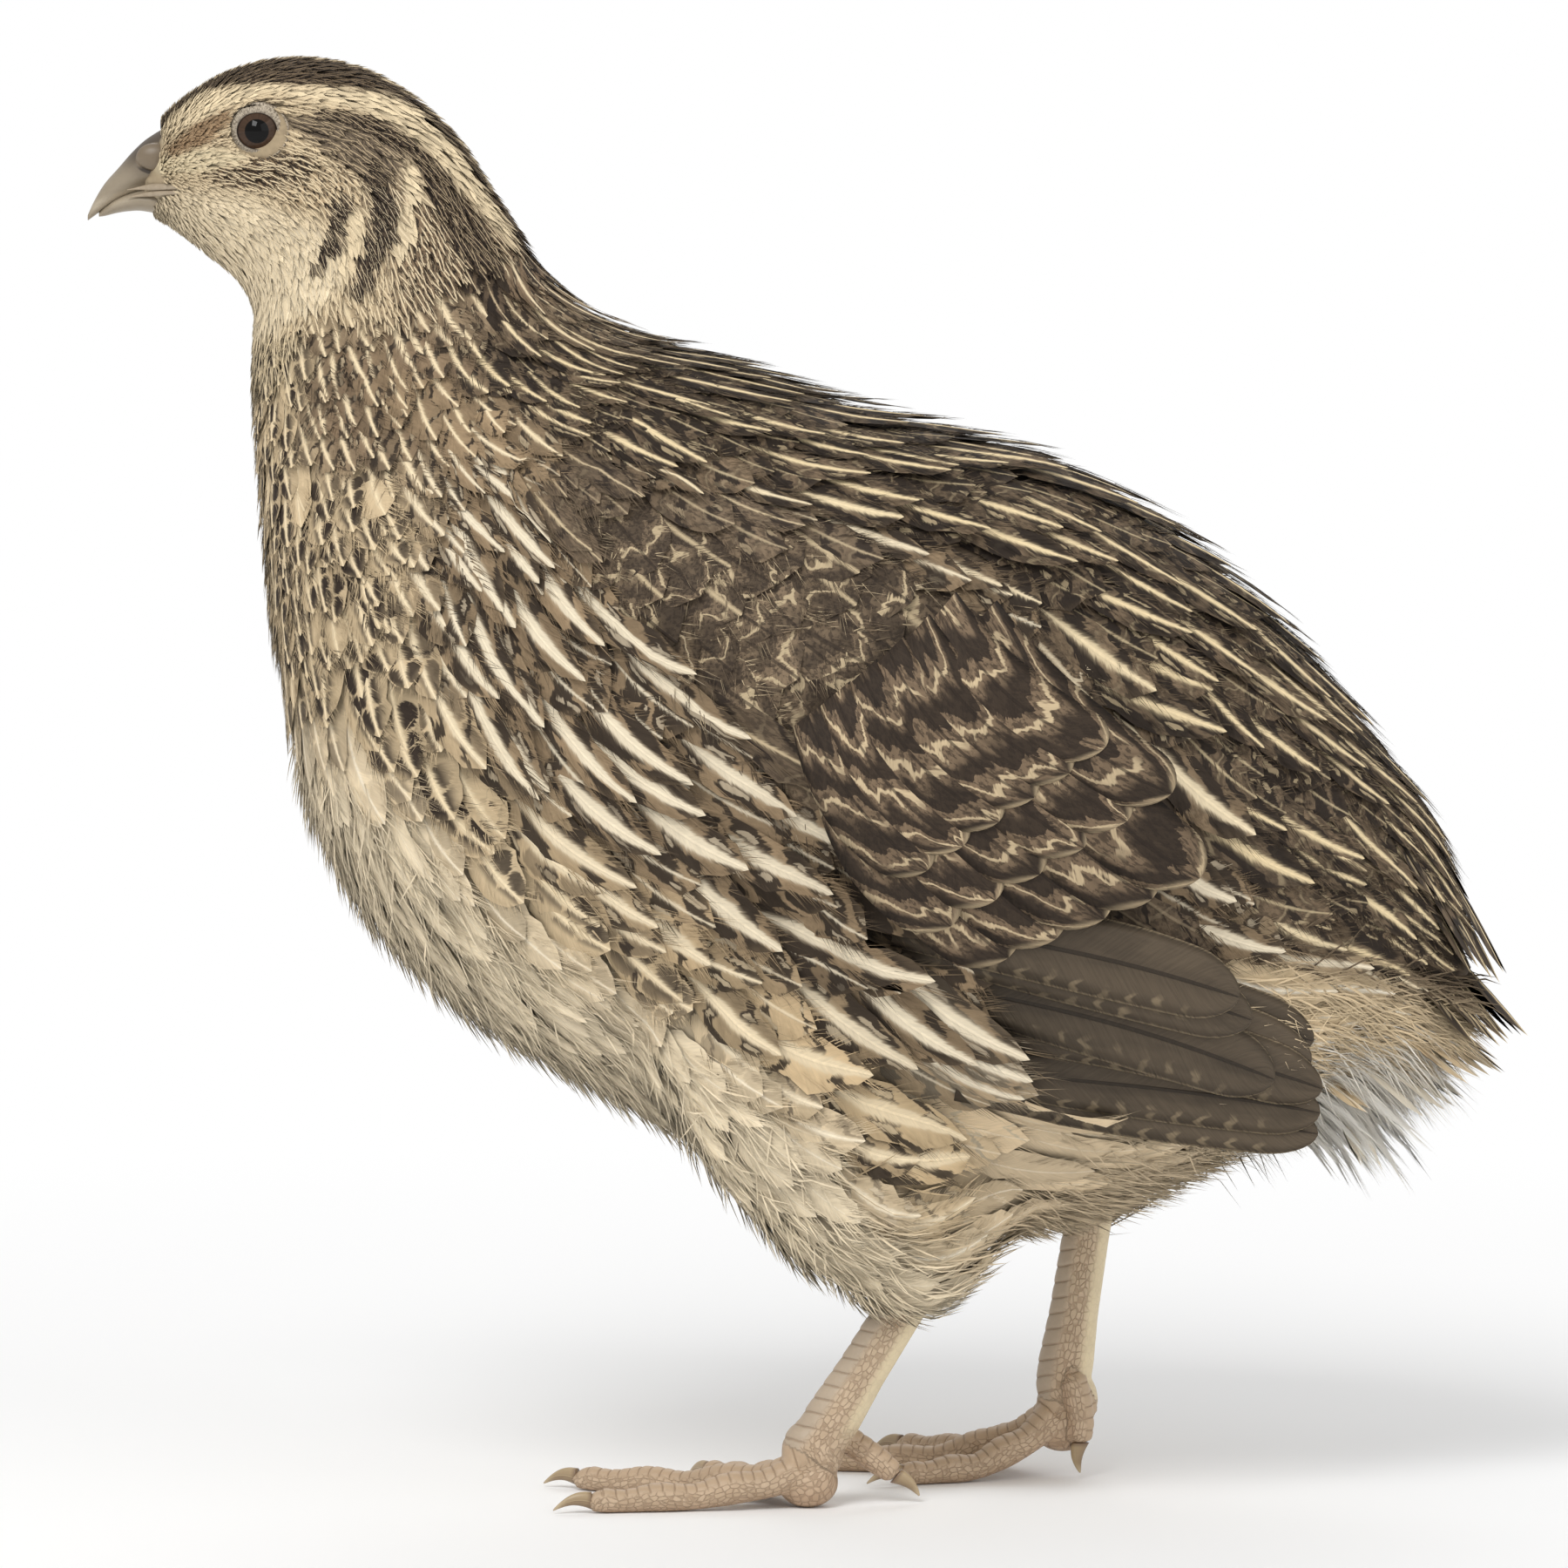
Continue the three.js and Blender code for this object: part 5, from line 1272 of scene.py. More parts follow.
def large_feathers(name, feathers, side, material, colours, replaces=(), rows=22, columns=6):
    """All the large vanes of one wing as one piece, from the same formula one after another."""
    points, vanes, bakes, quads, fans, ids = [], [], [], [], [], []
    total = 0
    for number, feather in enumerate(feathers):
        s, c, top, under = side_vane(feather, side, rows, columns)
        own = np.concatenate([top.reshape(-1, 3), under])
        vane = np.concatenate([np.stack([s, 0.5 + side * -0.5 * c], -1).reshape(-1, 2), np.stack([s[:, 0], 0 * s[:, 0] + 0.5], -1)])
        q, f = grid_vane_faces(rows, columns, side == LEFT)
        quads.append(q + total)
        fans.append(f + total)
        points.append(own)
        vanes.append(vane)
        patch = np.array([0.16 + 0.11 * (number % 7), 0.06 + 0.13 * (number // 7)])
        bakes.append(patch + vane * np.array([0.10, 0.10]))
        ids.append(np.full(len(own), rng.random()))
        total += len(own)
    points, ids = np.concatenate(points), np.concatenate(ids)
    values = {key: np.tile(colours[key], (total, 1)) * (0.9 + 0.2 * ids[:, None]) for key in ("ground", "dark", "pale")}
    values["marks"] = np.zeros((total, 3))
    values["more_marks"] = np.stack([0 * ids, 0 * ids, ids], -1)
    piece = mesh_of(name, points, [np.concatenate(quads), np.concatenate(fans)],
                    {"Vane": np.concatenate(vanes), "OFBake": np.concatenate(bakes)}, values)
    piece.data.materials.append(material)
    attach(piece, "root")
    if replaces:
        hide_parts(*replaces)
    print(f"{name}: {len(feathers)} feathers")


def row_of(spec):
    """The feathers of a tertial row, spread evenly from its first root and tip to its last."""
    (r0, r1), (t0, t1) = np.array(spec["root"]), np.array(spec["tip"])
    low, high = spec["layer"]
    made = []
    for k in range(spec["count"]):
        f = k / (spec["count"] - 1)
        made.append({"root": r0 + (r1 - r0) * f, "tip": t0 + (t1 - t0) * f, "half": spec["half"],
                     "bow": -1.6 - 0.8 * f, "layer": low + (high - low) * f})
    return made


for side, word in ((LEFT, "left"), (RIGHT, "right")):
    large_feathers("flight_feathers_" + word, FLIGHT_FEATHERS, side, FLIGHT,
                   {"ground": linear(90, 78, 63), "dark": linear(50, 42, 33), "pale": linear(176, 156, 124)},
                   ["wing_" + word])
    large_feathers("tertials_" + word, [f for row in TERTIAL_ROWS for f in row_of(row)], side, BARRED,
                   {"ground": linear(122, 103, 82), "dark": linear(46, 37, 30), "pale": linear(196, 175, 141)})

# %% [markdown]
# The tail of a quail is a soft wedge. Dark streaked coverts run down over short tail feathers, and below them
# hang buff and white ones. They are laid as tiers of vanes in pairs, the middle pair highest, as a roof.

# %% The tail
TAIL_TIERS = [
    {"pairs": 6, "root": (56.0, 70.0), "tip": (76.4, 49.2), "spread": 10.5, "shorter": 3.5, "half": 2.5, "kind": "dark"},
    {"pairs": 6, "root": (60.0, 79.0), "tip": (74.6, 55.4), "spread": 10.0, "shorter": 3.5, "half": 2.3, "kind": "dark"},
    {"pairs": 6, "root": (57.0, 84.0), "tip": (70.6, 64.6), "spread": 11.5, "shorter": 3.0, "half": 2.3, "kind": "dark"},
    {"pairs": 6, "root": (52.0, 62.0), "tip": (75.2, 45.6), "spread": 9.5, "shorter": 4.0, "half": 2.4, "kind": "buff"},
    {"pairs": 5, "root": (50.0, 57.0), "tip": (70.4, 42.2), "spread": 9.0, "shorter": 3.0, "half": 2.4, "kind": "white"},
    {"pairs": 4, "root": (50.5, 56.0), "tip": (61.4, 35.2), "spread": 5.5, "shorter": 1.5, "half": 2.2, "kind": "white"},
    {"pairs": 5, "root": (44.0, 55.0), "tip": (62.5, 44.0), "spread": 11.0, "shorter": 2.0, "half": 2.6, "kind": "buff"},
]
TAIL_LOOKS = {
    "dark": dict(ground=BACK_BROWN, dark=BACK_BLACK, pale=BACK_CREAM, streak=0.13, blotch=0.7, bars=0.5, fleck=0.6),
    "buff": dict(ground=DOWN_BUFF, dark=linear(150, 128, 100), pale=DOWN_WHITE, streak=0.10, blotch=0.15),
    "white": dict(ground=DOWN_WHITE, dark=DOWN_BUFF, pale=DOWN_WHITE, streak=0.05, blotch=0.0),
}


def tail_vanes(tiers, rows=10, columns=4):
    """Each vane runs straight from root to tip, with the half-width s^0.5 (1 - s)^0.4 and its surface turned
    0.15 radians down to the side. Each pair lies a step below the one inside it."""
    points, vanes, lies, seen, kinds, roots = [], [], [], [], [], []
    s = np.linspace(0, 1, rows + 1)
    c = np.linspace(-1, 1, columns + 1)
    for tier in tiers:
        for k in range(tier["pairs"]):
            for side in (LEFT, RIGHT):
                f = k / (tier["pairs"] - 1)
                first = tier["half"] * 0.45
                apart = (tier["spread"] - first) / (tier["pairs"] - 1)
                root = np.array([tier["root"][0], side * (first + 0.45 * apart * k), tier["root"][1]])
                tip = np.array([tier["tip"][0], side * (first + apart * k), tier["tip"][1]])
                tip = tip + rng.normal(size=3) * (0.4, 0.3, 0.5)
                run = tip - root
                length = np.linalg.norm(run) - tier["shorter"] * f
                run = unit(run)
                sideways = unit(np.array([0.0, 1.0, 0.0]) - run * run[1])
                normal = np.cross(sideways, run)
                normal = normal if normal[0] > 0 else -normal
                sideways = math.cos(0.15) * sideways - side * math.sin(0.15) * normal
                normal = unit(np.cross(sideways, run))
                normal = normal if normal[0] > 0 else -normal
                down = -k * (0.35 + apart * math.sin(0.15)) - 0.2 * rng.random()
                share = width_share(np.clip(s, 1e-6, 1 - 1e-6), 0.45, 0.42)
                rough = 1 + 0.10 * rng.normal(size=(rows + 1, columns + 1)) * (np.abs(c) > 0.4)
                off = tier["half"] * share[:, None] * c * rough
                bend = 0.9 * np.sin(np.pi * s)[:, None] - 0.18 * tier["half"] * share[:, None] * c**2
                grid = root + run * (length * s)[:, None, None] + sideways * off[..., None] + normal * (down + bend)[..., None]
                grid = grid.transpose(0, 1, 2)
                under = grid[:, columns // 2] - normal * (0.10 + 0.2 * share)[:, None]
                body = np.concatenate([grid[1:-1], under[1:-1, None]], 1)
                own = np.concatenate([body.reshape(-1, 3), grid[0, :1], grid[-1, :1]])
                v = np.stack(np.broadcast_arrays(s[1:-1, None], np.append(0.5 + c / 2, 0.5)), -1).reshape(-1, 2)
                points.append(own)
                vanes.append(np.concatenate([v, [[0, 0.5], [1, 0.5]]]))
                lies.append(np.tile(normal, (len(own), 1)))
                kinds.append(tier["kind"])
                roots.append((16.4 + 1.6 * (k + rng.random()) / 6, (side * (0.25 + 2.4 * f)) % FULL))
    looks = Looks(len(points))
    for kind, values in TAIL_LOOKS.items():
        looks.paint(np.array([k == kind for k in kinds], float), **values)
    laid = {"points": np.array(points), "vane": np.array(vanes), "lie": np.array(lies), "rows": rows, "columns": columns,
            "root": tuple(np.array(roots).T)}
    coat_piece("tail_feathers", laid, varied(looks, 0.1))


tail_vanes(TAIL_TIERS)

# %% [markdown]
# Where the coat thins to down, on the thighs, round the vent and along the belly's edge, single barbs stand
# off and give the bird its soft outline. Each is a sliver of a few faces, and its tip hangs a little.

# %% Down
def down_coat(name, start, end, around, where, length, high, hang, pitch=0.6, white=False):
    """Slivers on a fine lattice, kept where where() says, each turned a little its own way."""
    t, phi, wide, long, _ = lattice(start, end, around, pitch, 0.35)
    stay = rng.random(len(t)) < where(t, phi)
    t, phi = t[stay], phi[stay]
    n = len(t)
    size = length * (0.7 + 0.6 * rng.random(n))
    heading = 0.45 * rng.normal(size=n)
    tips = high * (0.3 + 0.9 * rng.random(n))
    laid = lay(t, phi, size, 0.05 + 0.07 * rng.random(n), heading, tips * 0.1, tips, rows=3, columns=2, ragged=0.0,
               camber=0.0, hang=hang * (0.4 + rng.random(n)))
    looks = varied(markings(laid["seen"], *laid["at"]), 0.12)
    if white:
        looks.paint(np.full(n, 0.8), ground=TUFT_WHITE, dark=TUFT_WHITE)
    looks.amounts["blotch"] *= 0.2
    looks.amounts["spot"] *= 0.0
    looks.amounts["streak"] *= 0.0
    by_side(name, laid, looks, DOWN)


def on_belly(t, phi):
    return 0.9 * step(in_belly(t, phi), 0.45, 0.8)


def on_thigh(t, phi):
    p, _, _, _ = on_skin(t, phi)
    return step(-p[:, 2], -40, -27)


def on_vent(t, phi):
    p, _, _, _ = on_skin(t, phi)
    x, z = side_view(p)
    return 0.8 * step(x, 22, 34) * (1 - above(x, z, VENT_LINE, 3.0))


down_coat("belly_down", AT["mantle"], AT["vent"] + 1, 200, on_belly, 5.5, 2.6, 0.4, pitch=0.6)
def on_undertail(t, phi):
    return step(t, 16.6, 17.0) * (1 - step(t, 17.9, 18.1)) * step(-np.cos(phi), 0.0, 0.5)


down_coat("undertail_down", 16.5, 18.1, 150, on_undertail, 10.0, 2.0, 6.0, pitch=0.6, white=True)


def undertail_tuft():
    """A loose tuft of long white feathers that hangs below the tail, each drooping by two thirds of its length."""
    count = 90
    side = rng.uniform(-1, 1, count)
    t = 17.0 + 0.6 * rng.random(count)
    phi = math.pi + 0.8 * side
    length = 13.0 * (0.75 + 0.4 * rng.random(count))
    laid = lay(t, phi, length, 0.8 + 0.4 * rng.random(count), 0.22 * rng.normal(size=count), np.full(count, 0.4),
               np.full(count, 2.2), rows=8, columns=4, ragged=0.0, camber=0.1, hang=9.0 * (0.7 + 0.5 * rng.random(count)))
    looks = varied(markings(laid["seen"], *laid["at"]), 0.08)
    looks.paint(np.ones(count), ground=TUFT_WHITE, pale=TUFT_WHITE, dark=TUFT_WHITE, blotch=0.0, spot=0.0, fleck=0.0, bars=0.0)
    by_side("undertail_tuft", fringed(laid, 60, 0.5, 0.05), looks, DOWN)


undertail_tuft()
down_coat("thigh_down", AT["flank"], AT["rump"], 190, on_thigh, 4.6, 2.4, 0.7, pitch=0.45)
down_coat("vent_down", AT["loin"], SKIN_END - 0.1, 170, on_vent, 7.5, 3.0, 1.2, pitch=0.5)

# %% [markdown]
# The head's hard parts follow. The bill is two sheaths of horn whose sections are arches, with a soft flap
# over each nostril and a slit under it. The eyeball sits as deep as in the solids. Only the ring of the lids
# shows it, so the ring is built from the eyeball's surface outwards until it dips under the face's feathers.

# %% The bill
BILL_UPPER = [(-64.6, 147.3, 139.9, 4.3), (-67.3, 146.6, 139.8, 3.6), (-69.8, 145.2, 139.6, 3.0), (-71.4, 143.8, 139.2, 2.65),
              (-73.0, 142.0, 138.6, 2.15), (-74.5, 140.3, 137.7, 1.55), (-75.6, 138.5, 136.9, 0.95), (-76.3, 137.0, 136.4, 0.3)]
BILL_LOWER = [(-65.0, 140.6, 136.6, 3.6), (-67.6, 140.0, 136.9, 3.1), (-70.4, 139.8, 137.4, 2.55), (-71.8, 139.5, 137.4, 2.1),
              (-73.2, 138.9, 137.2, 1.6), (-74.4, 138.0, 136.9, 1.0), (-75.1, 137.3, 136.8, 0.5)]
NOSTRIL = {"x": -69.0, "y": 2.45, "z": 143.2, "sizes": (2.0, 1.15, 1.55)}


def horn_sheath(rows, arch_up, count=56, around=36):
    """Each section is an arch: its rise is a^0.8 with a = (cos + 1) / 2, its width narrows towards the ridge,
    and it is flat where the two halves of the bill meet."""
    x, top, bottom, half = curve(rows, np.linspace(0, len(rows) - 1, count)).T[:, :, None]
    a = np.arange(around) * FULL / around
    arch = (np.cos(a) + 1) / 2
    rise = arch**0.8 if arch_up else 1 - (1 - arch) ** 0.8
    wide = np.sin(a) * (1.05 - 0.2 * arch if arch_up else 0.85 + 0.2 * arch)
    return np.stack(np.broadcast_arrays(x, half * wide, bottom + (top - bottom) * rise), -1)


def ellipsoid_rings(middle, sizes, count=20, around=28):
    """Rings of an ellipsoid along x, from just past one pole to just before the other."""
    a = np.linspace(0.06, math.pi - 0.06, count)[:, None]
    b = np.arange(around) * FULL / around
    return np.stack(np.broadcast_arrays(middle[0] + sizes[0] * np.cos(a), middle[1] + sizes[1] * np.sin(a) * np.cos(b),
                                        middle[2] + sizes[2] * np.sin(a) * np.sin(b)), -1)


def outward_mesh(name, rings_list, uvs=None, colours=None):
    """Closed tubes in one mesh, their faces turned to point outwards."""
    points, faces, total = [], [[], []], 0
    for rings in rings_list:
        own = ringed(rings)
        quads, fans = tube_faces(*rings.shape[:2])
        middle = own.mean(0)
        tri = own[quads[:, :3]]
        volume = np.einsum("ij,ij->", tri[:, 0] - middle, np.cross(tri[:, 1] - middle, tri[:, 2] - middle))
        if volume < 0:
            quads, fans = quads[:, ::-1], fans[:, ::-1]
        faces[0].append(quads + total)
        faces[1].append(fans + total)
        points.append(own)
        total += len(own)
    return mesh_of(name, np.concatenate(points), [np.concatenate(f) for f in faces], uvs, colours)


def horn_material():
    """Grey-brown horn: darker along the ridge, paler along the cutting edge, with growth lines and a fine grain. The
    flap's slit is a dark crescent of painted shade round the lower back of its ellipse, and a groove in the bump."""
    kit = Kit("bill horn")
    place = kit.place()
    x, y, z = kit.parts(place)
    base_line = 139.75 * MM
    fine = kit.noise(kit.joined(x * 900, y * 300, z * 1500), 1.0, 3.0, 0.6)
    cloud = kit.noise(place, 420.0, 2.0)
    rise = (z - base_line + (x + 70 * MM) * 0.35).step(0.0 * MM, 3.8 * MM)
    edge = ((z - base_line - (x + 70 * MM) * 0.32).size()).step(1.0 * MM, 0.15 * MM)
    colour = kit.blend(linear(148, 135, 115), linear(82, 71, 58), rise)
    colour = kit.blend(colour, linear(190, 177, 155), edge * 0.55)
    wide, deep, tall = (size * MM for size in NOSTRIL["sizes"])
    dx, dz = (x - NOSTRIL["x"] * MM) / wide, (z - NOSTRIL["z"] * MM) / tall
    dy = (y.size() - NOSTRIL["y"] * MM) / deep
    flap = (dx * dx + dy * dy + dz * dz).step(1.25, 0.95)
    colour = kit.blend(colour, linear(126, 111, 91), flap * 0.9)
    # The slit's dark crescent is painted shade in the nostril's opening; it also cuts a groove into the bump.
    slit = ((dx * dx + dz * dz) - 1.06).size().step(0.42, 0.16) * (dx * 0.35 - dz).step(0.2, 0.6)
    colour = kit.blend(colour, linear(48, 38, 30), slit * 0.9)
    colour = kit.scaled(colour, 0.82 + fine * 0.2 + cloud * 0.18)
    return kit.finish(colour, 0.36 + fine * 0.12, fine * 0.5 + cloud - slit * 2, 0.00012, 0.35)


HORN = horn_material()
flaps = [ellipsoid_rings((NOSTRIL["x"], side * NOSTRIL["y"], NOSTRIL["z"]), NOSTRIL["sizes"]) for side in (LEFT, RIGHT)]
bill_upper = outward_mesh("bill_upper_horn", [horn_sheath(BILL_UPPER, True), *flaps])
bill_lower = outward_mesh("bill_lower_horn", [horn_sheath(BILL_LOWER, False)])
for piece, node in ((bill_upper, "bill_upper"), (bill_lower, "bill_lower")):
    piece.data.materials.append(HORN)
    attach(piece, "root")
    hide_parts(node)


def face_width(x, z):
    """How far out the skin lies on the head at a place of the side view."""
    return trunk_side(x, z, 0.0, 6.5) - 0.55


def lips():
    """Two thin bare rims from the bill's corner back along the mouth, as tapered tubes on the cheek."""
    tubes = []
    for side in (LEFT, RIGHT):
        for z0, z1, thick in ((139.75, 139.95, 0.40), (138.95, 139.45, 0.34)):
            s = np.linspace(0, 1, 30)
            x = -72.0 + 9.3 * s
            z = z0 + (z1 - z0) * s + 0.35 * np.sin(np.pi * s)
            y = np.maximum(face_width(x, z), 2.15 + 0.55 * step(s, 0.0, 0.3)) + 0.05
            radius = thick * step(s, -0.04, 0.35) * (1 - 0.75 * s**1.5) + 0.02
            a = np.arange(12) * FULL / 12
            ring = np.stack(np.broadcast_arrays(x[:, None], side * (y[:, None] + radius[:, None] * np.cos(a)),
                                                z[:, None] + radius[:, None] * np.sin(a)), -1)
            tubes.append(ring)
    piece = outward_mesh("mouth_rims", tubes)
    kit = Kit("mouth rim")
    fine = kit.noise(kit.place(), 1800.0, 3.0)
    colour = kit.scaled(kit.blend(linear(186, 170, 146), linear(150, 133, 110), fine), 0.95)
    piece.data.materials.append(kit.finish(colour, 0.5, fine, 0.0001, 0.3))
    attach(piece, "root")


lips()
print("bill from", BILL_UPPER[0][0], "to", BILL_UPPER[-1][0])

# %% Eyes and lids
def eye_material():
    """A near-black pupil in a dark brown iris with faint spokes and a darker rim, under a clear coat."""
    kit = Kit("eye")
    u, v, _ = kit.parts(kit.node("ShaderNodeUVMap", {"uv_map": "Iris"}))
    radius = (u * u + v * v).maths("POWER", u * u + v * v, 0.5)
    spokes = kit.noise(kit.joined(u / (radius + 0.05) * 9, v / (radius + 0.05) * 9, radius * 0.4), 1.0, 3.0)
    colour = kit.blend(linear(84, 63, 48), linear(50, 37, 28), spokes)
    colour = kit.blend(colour, linear(20, 14, 11), radius.step(1.8, 2.15))
    colour = kit.blend(colour, linear(6, 5, 4), radius.step(1.32, 1.22))
    return kit.finish(colour, 0.5, **{"Coat Weight": 0.4, "Coat Roughness": 0.02, "Specular IOR Level": 0.0})


def lid_material():
    """Pale grey-brown skin with rings of tiny beads and radial creases round the eye."""
    kit = Kit("eyelid")
    u, v, _ = kit.parts(kit.node("ShaderNodeUVMap", {"uv_map": "Ring"}))
    spokes = kit.noise(kit.joined((u * FULL).wave() * 17, (u * FULL + math.pi / 2).wave() * 17, v * 5), 1.0, 3.0, 0.7)
    beads = ((v * 4.5).part() - 0.5).size() * 2
    grey = (v.step(0.10, 0.45) * 0.5 + 0.5) * spokes.step(0.34, 0.62)
    colour = kit.blend(linear(104, 92, 77), linear(208, 194, 172), grey)
    colour = kit.blend(colour, linear(60, 50, 42), v.step(0.10, 0.02))
    colour = kit.blend(colour, linear(120, 101, 80), v.step(0.75, 1.0) * 0.6)
    return kit.finish(colour, 0.6, spokes + beads * 0.4, 0.00015, 0.5)


EYE_GLASS, LID = eye_material(), lid_material()
eye_side = float(trunk_side(EYE["x"], EYE["z"], 0.0, 6.0))


def eyeball(side, word):
    """A ball of radius R whose front is rounded out a little as a cornea, made of rings round the y axis."""
    a = np.concatenate([np.linspace(0.02, 0.8, 34), np.linspace(0.86, math.pi - 0.05, 22)])[:, None]
    b = np.arange(64) * FULL / 64
    radius = EYE["ball"]
    bulge = 0.22 * np.clip(1 - (a / 0.62) ** 2, 0, 1) ** 1.5
    flat = radius * np.sin(a)
    rings = np.stack(np.broadcast_arrays(EYE["x"] + flat * np.cos(b), side * (eye_side - EYE["sunk"] + (radius + bulge) * np.cos(a)),
                                         EYE["z"] + flat * np.sin(b)), -1)
    own = ringed(rings)
    iris = np.stack([own[:, 0] - EYE["x"], own[:, 2] - EYE["z"]], -1)
    piece = outward_mesh("eyeball_" + word, [rings], {"Iris": iris})
    piece.data.materials.append(EYE_GLASS)
    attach(piece, "root")
    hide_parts("eye_" + word)


def eyelid(side, word):
    """A ring round the eye. From the inside out its radius grows from the iris's edge to the ring's, and its
    height goes from the eyeball's surface over a rounded lip down to just under the face's skin."""
    s = np.linspace(0, 1, 26)[:, None]
    b = np.arange(96) * FULL / 96
    oval = 1 + 0.05 * np.cos(2 * b)
    radius = (EYE["iris"] - 0.12 + (EYE["ring"] + 0.45 - EYE["iris"]) * s) * oval
    x, z = EYE["x"] + radius * np.cos(b), EYE["z"] + radius * np.sin(b)
    on_ball = eye_side - EYE["sunk"] + np.sqrt(np.maximum(EYE["ball"] ** 2 - radius**2, 0.01))
    face = trunk_side(x, z, 0.0, 6.0) - 0.45
    mixed = on_ball + (face - on_ball) * step(s, 0.15, 1.0)
    crease = 0.05 * np.sin(b * 31 + 4 * s) * np.sin(math.pi * s)
    y = mixed + 0.38 * np.sin(math.pi * np.clip(s * 1.5, 0, 1)) ** 0.7 + crease - 0.25 * step(s, 0.85, 1.0)
    top = np.stack(np.broadcast_arrays(x, side * y, z), -1)
    low = top[::-1].copy()
    low[..., 1] -= side * 0.5
    rings = np.concatenate([top, low])
    n = len(rings)
    i, j = np.meshgrid(np.arange(n), np.arange(96), indexing="ij")
    k, m = (j + 1) % 96, (i + 1) % n
    quads = np.stack([i * 96 + j, m * 96 + j, m * 96 + k, i * 96 + k], -1).reshape(-1, 4)
    if side == RIGHT:
        quads = quads[:, ::-1]
    share = np.concatenate([s[:, 0], s[::-1, 0]])
    place = np.stack([(i + 0.0) * 0 + j / 96, share[i]], -1)
    corner = np.stack([np.stack([(j + dj) / 96, share[(i + di) % n]], -1) for di, dj in ((0, 0), (1, 0), (1, 1), (0, 1))], 2)
    corner = corner.reshape(-1, 4, 2)
    if side == RIGHT:
        corner = corner[:, ::-1]
    piece = mesh_of("eyelid_" + word, rings.reshape(-1, 3), quads, {"Ring": corner.reshape(-1, 2)})
    piece.data.materials.append(LID)
    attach(piece, "root")


for side, word in ((LEFT, "left"), (RIGHT, "right")):
    eyeball(side, word)
    eyelid(side, word)
print("eyes at", EYE["x"], EYE["z"], "and", round(eye_side, 2), "mm to either side")

# %% [markdown]
# A bare leg is one skin from the heel down over the toes: plates across the front of the shin and the top of
# each toe, small scales at the sides, a smooth pale strip at the back. Tubes for the shin, the palm and the
# toes are joined by a voxel remesh and smoothed, then each point takes its height from the scale it lies on.

# %% Legs
LEGS = [
    {"word": "left", "side": LEFT, "hock": (15.2, 29.5), "foot": (-0.2, 4.4), "heel": 2.6,
     "rear": ((3.4, 8.2), (9.6, 2.9)), "toes": {"inner": (1.0, 18.0), "middle": (0.455, 26.6), "outer": (-0.15, 22.4)}},
    {"word": "right", "side": RIGHT, "hock": (31.6, 34.6), "foot": (27.4, 6.8), "heel": 5.4,
     "rear": ((29.9, 11.6), (29.7, 4.0)), "toes": {"inner": (0.32, 17.4), "middle": (-0.14, 25.2), "outer": (-0.68, 21.0)}},
]
FOOT_Y = 10.5
TOE_APART = {"inner": -1.2, "middle": 0.0, "outer": 1.2}
PLATE = {"shin": 1.75, "toe": 1.25, "high": 0.16}
VOXEL = 0.22


def limb_frame(points, front):
    """For a centre line: its unit run, the way its front faces square to that, and the way across."""
    run = unit(np.gradient(points, axis=0))
    front = np.asarray(front, float) - run * (run @ np.asarray(front, float))[:, None]
    front = unit(front)
    return run, front, np.cross(run, front)


def limb_tube(points, deep, wide, front, around=28):
    """Rings of half size deep towards the front and wide across it."""
    run, ahead, across = limb_frame(points, front)
    a = np.arange(around) * FULL / around
    return points[:, None] + ahead[:, None] * (deep[:, None] * np.cos(a))[..., None] + across[:, None] * (
        wide[:, None] * np.sin(a))[..., None]


def leg_limbs(leg):
    """The centre lines and half sizes of the shin and of each toe, in mm."""
    side, y = leg["side"], leg["side"] * FOOT_Y
    (hx, hz), (fx, fz) = leg["hock"], leg["foot"]
    f = np.linspace(-0.12, 0.97, 60)
    shin = np.stack([hx + (fx - hx) * f, np.full(60, y), hz + (fz - hz) * f], -1)
    spots = [-0.12, 0.0, 0.12, 0.3, 0.6, 0.8, 0.9, 0.97]
    limbs = {"shin": (shin, np.interp(f, spots, [1.9, 2.9, 2.65, 2.55, 2.65, 3.0, 2.9, 2.0]),
                      np.interp(f, spots, [1.7, 2.25, 2.0, 1.95, 2.05, 2.4, 2.5, 1.8]), (-1, 0, -0.3))}
    s = np.linspace(0, 1, 56)
    for name, (angle, length) in leg["toes"].items():
        run = np.array([-math.cos(angle), -side * math.sin(angle), 0.0])
        start = np.array([fx - 0.6, y + side * TOE_APART[name], leg["heel"] - 0.7])
        knuckle = 1 + 0.09 * np.cos(FULL * 3 * s)
        radius = (1.85 + (1.3 - 1.85) * s) * knuckle * np.sqrt(np.clip((1.03 - s) / 0.10, 0.2, 1))
        points = start + run * (length * s)[:, None]
        points[:, 2] = radius * 0.93 + start[2] * np.maximum(0, 1 - s / 0.62) ** 1.7
        limbs[name] = (points, radius * 0.97, radius, (0, 0, 1))
    (x0, z0), (x1, z1) = leg["rear"]
    points = np.stack([x0 + (x1 - x0) * s, np.full(56, y - side * 2.4), z0 + (z1 - z0) * s], -1)
    radius = np.interp(s, [0, 0.12, 0.35, 0.7, 0.93, 1], [0.7, 1.5, 1.5, 1.5, 1.25, 0.7])
    points[:, 0] -= 1.2 * (1 - s) ** 2
    limbs["rear"] = (points, radius, radius * 0.9, (1, 0, 0.6))
    return limbs


